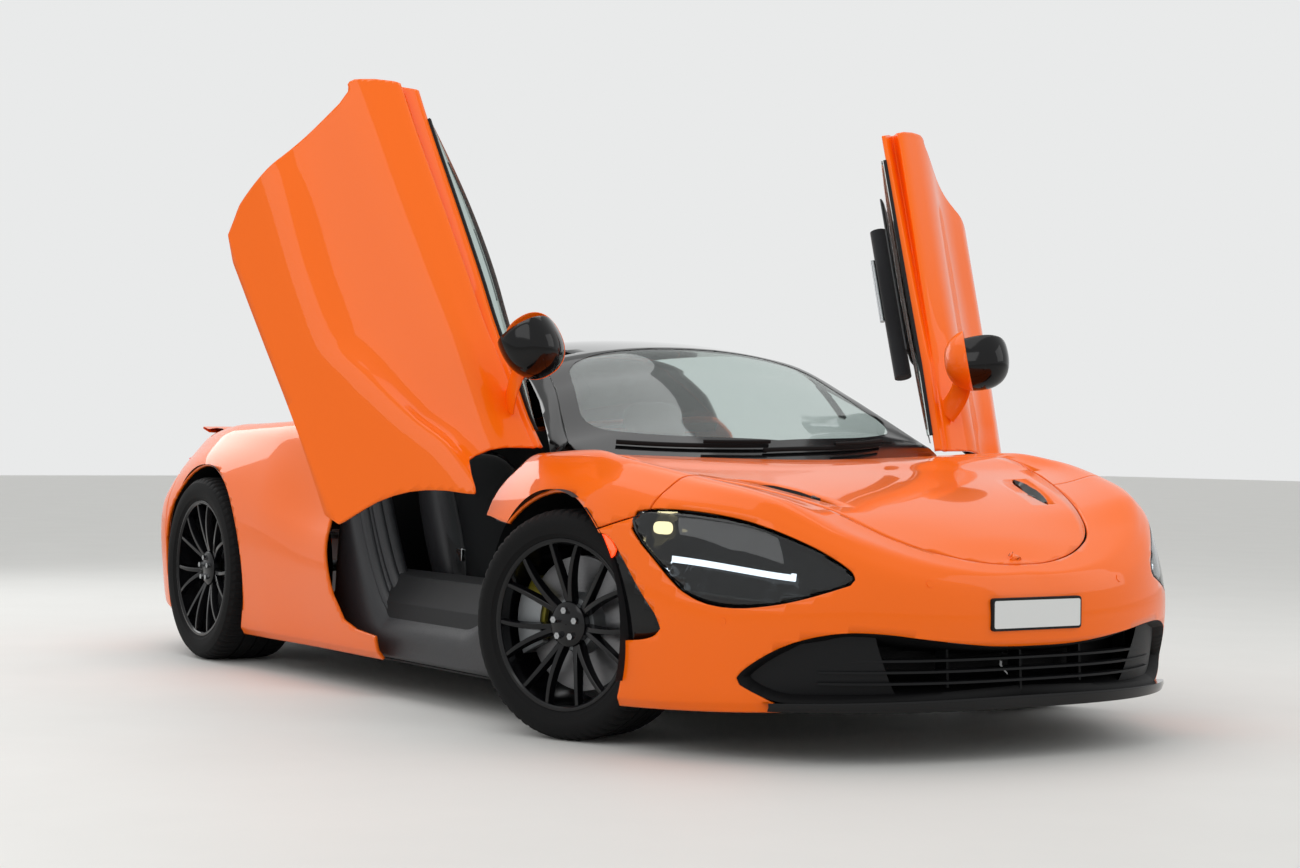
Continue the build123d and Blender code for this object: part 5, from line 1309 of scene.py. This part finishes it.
def make_dash(sizes):
    """Dashboard roll, binnacle, wheel with three spokes, centre screen, tunnel and sill pads."""
    y = np.linspace(-DASH_HALF, DASH_HALF, 90)
    bend = .060 * np.abs(y / DASH_HALF) ** 2.2
    outline = np.array([(.000, -.020), (.060, .030), (.140, .050), (.210, .040), (.240, -.030), (.160, -.100),
                        (.040, -.110)])
    lines = np.stack([np.stack([.560 + p[0] + bend * .4 + 0 * y, y, .690 + p[1] - bend * .6], 1)
                      for p in outline], 1)
    roll = rounded_profile(np.concatenate([lines, lines[:, :1]], 1), (0, .8, 1, 1, .8, 1, .8, 0))
    piece("dash_roll", sheet_of(roll), "suede_microfibre", stands_for=("dashboard",))
    solid("binnacle", egg((.560, SEAT_Y, .720), (.085, .170, .050), power=.6), "moulded_plastic")
    solid("driver_display", brick(.474, .478, .24, .42, .690, .752), "display_glass", bevel=.001)
    screen = prism(rounded_outline([(-.075, .470), (.075, .470), (.075, .680), (-.075, .680)]),
                   .520, .532, axis=0)
    solid("centre_display", screen, "display_glass", bevel=.002)
    solid("centre_tunnel", egg((.130, 0, .300), (.470, .095, .085), power=.5), "grained_leather")

    def at_wheel(points):
        """Points drawn about the steering wheel's middle, leant and moved to its hub."""
        return turn(points, np.zeros(3), (0, 1, 0), STEERING_LEAN) + STEERING_HUB

    a = np.linspace(0, 2 * math.pi, 97)[:-1]
    flatten = np.where(np.sin(a) < -.72, .72 / np.abs(np.sin(a)), 1)
    ring = at_wheel(np.stack([0 * a, STEERING_RADIUS * np.cos(a), STEERING_RADIUS * np.sin(a) * flatten], 1))
    piece("wheel_grip", sweep(np.vstack([ring, ring[:1]]), circle(.0155, 16), caps=False), "suede_microfibre")
    spokes = []
    for q in (0, math.pi, -math.pi / 2):
        s = np.linspace(.02, .168 if q > -1 else .120, 8)[:, None]
        spokes.append(sweep(at_wheel(s * [[0, math.cos(q), math.sin(q)]]), circle((.006, .018), 12)))
    solid("wheel_spokes", join(*spokes), "moulded_plastic")
    v, t = egg((0, 0, 0), (.026, .066, .056), power=.7)
    solid("wheel_boss", (at_wheel(v), t), "grained_leather")
    solid("steering_column", bar(STEERING_HUB + [.01, 0, 0], (.58, SEAT_Y, .700), .030, 24),
          "moulded_plastic")
    for side, word in SIDES:
        x = np.linspace(-.40, .84, 80)
        rear, top = sill_rise(x)
        rows = [np.stack([x, side * (HALF_WIDTH - .110) + 0 * x, .125 + 0 * x], 1)]
        rows += [np.stack([x, side * (HALF_WIDTH - inset - .02 * rear), top + lift], 1) for inset, lift in
                 ((.120, -.050), (.150, -.010), (.200, .012), (.270, .030), (.290, -.020))]
        cover = rounded_profile(np.stack(rows, 1), (0, .8, .9, .9, .8, 0))
        piece("sill_cover_" + word, sheet_of(cover if side > 0 else cover[:, ::-1]), "grained_leather",
              edge=.004)
        for number, (inset, lift) in enumerate(((0, 0), (.045, .030))):
            x = np.linspace(-.36, .78, 70)
            rear, top = sill_rise(x)
            path = np.stack([x, side * (.790 - inset - .02 * rear), top + lift], 1)
            solid("sill_ridge_%d_%s" % (number, word), sweep(path, circle((.012, .020), 14)),
                  "grained_leather")


def make_wipers(sizes):
    """Two wipers parked along the foot of the windscreen."""
    shell = canopy_surface(sizes.station_step)
    line = np.asarray(COWL_LINE)
    for number, (y0, y1) in enumerate(((-.56, -.08), (-.10, .42))):
        path = []
        for y in np.linspace(y0, y1, 24):
            x = np.interp(abs(y), line[:, 1], line[:, 0]) - .030 - .02 * (y - y0) / (y1 - y0)
            path.append(point_on(shell, PLAN, (x, y)) + [0, 0, .012])
        path = smooth_path(path, 1)
        arm = path[::-1][:12] + [.012, 0, .012]
        for name, way, radii, kind in (("blade", path, (.007, .005), "vulcanised_rubber"),
                                       ("arm", arm, (.006, .004), "powder_coat")):
            solid("wiper_%s_%d" % (name, number), sweep(way, circle(radii, 8)), kind)


# ---------------------------------------------------------------- stage
def make_stage(colour):
    """Pale floor and backdrop, softly lit from above, and the camera."""
    scene = bpy.context.scene
    floor = bpy.data.meshes.new("floor")
    r = FLOOR_REACH
    floor.from_pydata([(-r, -r, 0), (r, -r, 0), (r, r, 0), (-r, r, 0)], [], [(0, 1, 2, 3)])
    ground = bpy.data.objects.new("floor", floor)
    scene.collection.objects.link(ground)
    finish("studio_floor", colour, "DEDEDC", scale=2, roughness=0.6, spread=0.05)
    floor.materials.append(bpy.data.materials["studio_floor"])
    world = bpy.data.worlds.new("studio")
    scene.world = world
    world.use_nodes = True
    tree = world.node_tree
    tree.nodes.clear()
    rays = add(tree, "ShaderNodeLightPath")
    soft = add(tree, "ShaderNodeBackground", None, {"Color": linear("EEEEEC"), "Strength": 0.78})
    seen = add(tree, "ShaderNodeBackground", None, {"Color": linear("E9EAEA"), "Strength": 1.0})
    clear = add(tree, "ShaderNodeMath", {"operation": "MAXIMUM"}, None,
                [(rays, "Is Camera Ray", 0), (rays, "Is Transmission Ray", 1)])
    clear = add(tree, "ShaderNodeMath", {"operation": "MAXIMUM"}, None,
                [(clear, "Value", 0), (rays, "Is Glossy Ray", 1)])
    mix = add(tree, "ShaderNodeMixShader", None, None,
              [(clear, "Value", "Fac"), (soft, "Background", 1), (seen, "Background", 2)])
    add(tree, "ShaderNodeOutputWorld", None, None, [(mix, "Shader", "Surface")])
    for name, place, size, power in LIGHTS:
        light = bpy.data.lights.new(name, "AREA")
        light.size = size
        light.energy = power
        lamp = bpy.data.objects.new(name, light)
        scene.collection.objects.link(lamp)
        lamp.location = place
        lamp.rotation_mode = "QUATERNION"
        lamp.rotation_quaternion = (LIGHTS_AIM - Vector(place)).to_track_quat("-Z", "Y")
    cam = bpy.data.cameras.new("camera")
    cam.sensor_width = SENSOR_MM
    cam.lens = FOCAL_PIXELS * SENSOR_MM / FRAME_PIXELS
    cam.clip_start, cam.clip_end = 0.1, 200
    eye = bpy.data.objects.new("camera", cam)
    scene.collection.objects.link(eye)
    yaw, pitch, roll = (math.radians(a) for a in (CAMERA_YAW, CAMERA_PITCH, CAMERA_ROLL))
    forward = np.array([math.cos(pitch) * math.cos(yaw), math.cos(pitch) * math.sin(yaw), math.sin(pitch)])
    right = np.cross(forward, [0, 0, 1])
    right /= np.linalg.norm(right)
    up = np.cross(right, forward)
    right, up = (math.cos(roll) * right + math.sin(roll) * up, -math.sin(roll) * right + math.cos(roll) * up)
    turned = np.eye(4)
    turned[:3, :3] = np.stack([right, up, -forward], 1)
    eye.matrix_world = Matrix(turned.tolist())
    eye.location = CAMERA_PLACE
    scene.camera = eye
    scene.view_settings.view_transform = "Standard"


# ---------------------------------------------------------------- operators
class SUPERCAR_OT_finishes(bpy.types.Operator):
    """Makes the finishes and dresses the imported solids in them"""
    bl_idname = "supercar.finishes"
    bl_label = "Finishes"

    def execute(self, context):
        make_finishes(context.scene.supercar_finishes)
        dress_solids()
        return {"FINISHED"}


class MakesPieces:
    """What the operators below share: each runs its makers with the scene's sizes"""
    makers = ()

    def execute(self, context):
        for make in self.makers:
            make(context.scene.supercar_sizes)
        return {"FINISHED"}


class SUPERCAR_OT_front_body(MakesPieces, bpy.types.Operator):
    """Fenders, bumper and front lid"""
    bl_idname = "supercar.front_body"
    bl_label = "Front body"
    makers = (make_front_body, make_vents)


class SUPERCAR_OT_nose(MakesPieces, bpy.types.Operator):
    """Headlamps, intake, splitter, plate and sensors"""
    bl_idname = "supercar.nose"
    bl_label = "Nose"
    makers = (make_headlamps, make_intake, make_nose_details)


class SUPERCAR_OT_tail(MakesPieces, bpy.types.Operator):
    """Tail shell, lamps, wing, deck, diffuser and exhausts"""
    bl_idname = "supercar.tail"
    bl_label = "Tail"
    makers = (make_tail,)


class SUPERCAR_OT_cabin(MakesPieces, bpy.types.Operator):
    """Seats, dashboard, steering wheel and sills"""
    bl_idname = "supercar.cabin"
    bl_label = "Cabin"
    makers = (make_seats, make_dash)


class SUPERCAR_OT_rear_body(MakesPieces, bpy.types.Operator):
    """Quarter panels, rear bumper and wheel housings"""
    bl_idname = "supercar.rear_body"
    bl_label = "Rear body"
    makers = (make_rear_body, make_arches)


class SUPERCAR_OT_glasshouse(MakesPieces, bpy.types.Operator):
    """Windscreen, roof, pillars and rear glass"""
    bl_idname = "supercar.glasshouse"
    bl_label = "Glasshouse"
    makers = (make_glasshouse, make_wipers)


class SUPERCAR_OT_doors(MakesPieces, bpy.types.Operator):
    """Both doors with their glass"""
    bl_idname = "supercar.doors"
    bl_label = "Doors"
    makers = (make_doors,)


class SUPERCAR_OT_wheels(MakesPieces, bpy.types.Operator):
    """Tyres, rims and brakes"""
    bl_idname = "supercar.wheels"
    bl_label = "Wheels"
    makers = (make_wheels,)


class SUPERCAR_OT_stage(bpy.types.Operator):
    """Floor, lights and camera"""
    bl_idname = "supercar.stage"
    bl_label = "Stage"

    def execute(self, context):
        make_stage(context.scene.supercar_finishes.floor)
        return {"FINISHED"}


OPERATORS = (SUPERCAR_OT_finishes, SUPERCAR_OT_front_body, SUPERCAR_OT_nose, SUPERCAR_OT_rear_body,
             SUPERCAR_OT_tail, SUPERCAR_OT_cabin, SUPERCAR_OT_glasshouse,
             SUPERCAR_OT_doors, SUPERCAR_OT_wheels, SUPERCAR_OT_stage)


class SUPERCAR_PT_panel(bpy.types.Panel):
    """Lists the operators and the settings"""
    bl_idname = "SUPERCAR_PT_panel"
    bl_label = "Supercar"
    bl_space_type = "VIEW_3D"
    bl_region_type = "UI"
    bl_category = "Supercar"

    def draw(self, context):
        column = self.layout.column()
        for group in (context.scene.supercar_sizes, context.scene.supercar_finishes):
            for key in group.__annotations__:
                column.prop(group, key)
        for operator in OPERATORS:
            column.operator(operator.bl_idname)


CLASSES = (SupercarSizes, SupercarFinishes, *OPERATORS, SUPERCAR_PT_panel)


def register():
    """Adds the classes and the two groups of settings."""
    for cls in CLASSES:
        bpy.utils.register_class(cls)
    bpy.types.Scene.supercar_sizes = bpy.props.PointerProperty(type=SupercarSizes)
    bpy.types.Scene.supercar_finishes = bpy.props.PointerProperty(type=SupercarFinishes)


def unregister():
    """Takes them away again."""
    del bpy.types.Scene.supercar_finishes
    del bpy.types.Scene.supercar_sizes
    for cls in reversed(CLASSES):
        bpy.utils.unregister_class(cls)


def main():
    """Registers the add-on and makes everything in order."""
    register()
    for operator in OPERATORS:
        group, name = operator.bl_idname.split(".")
        getattr(getattr(bpy.ops, group), name)()


if __name__ == "__main__":
    main()
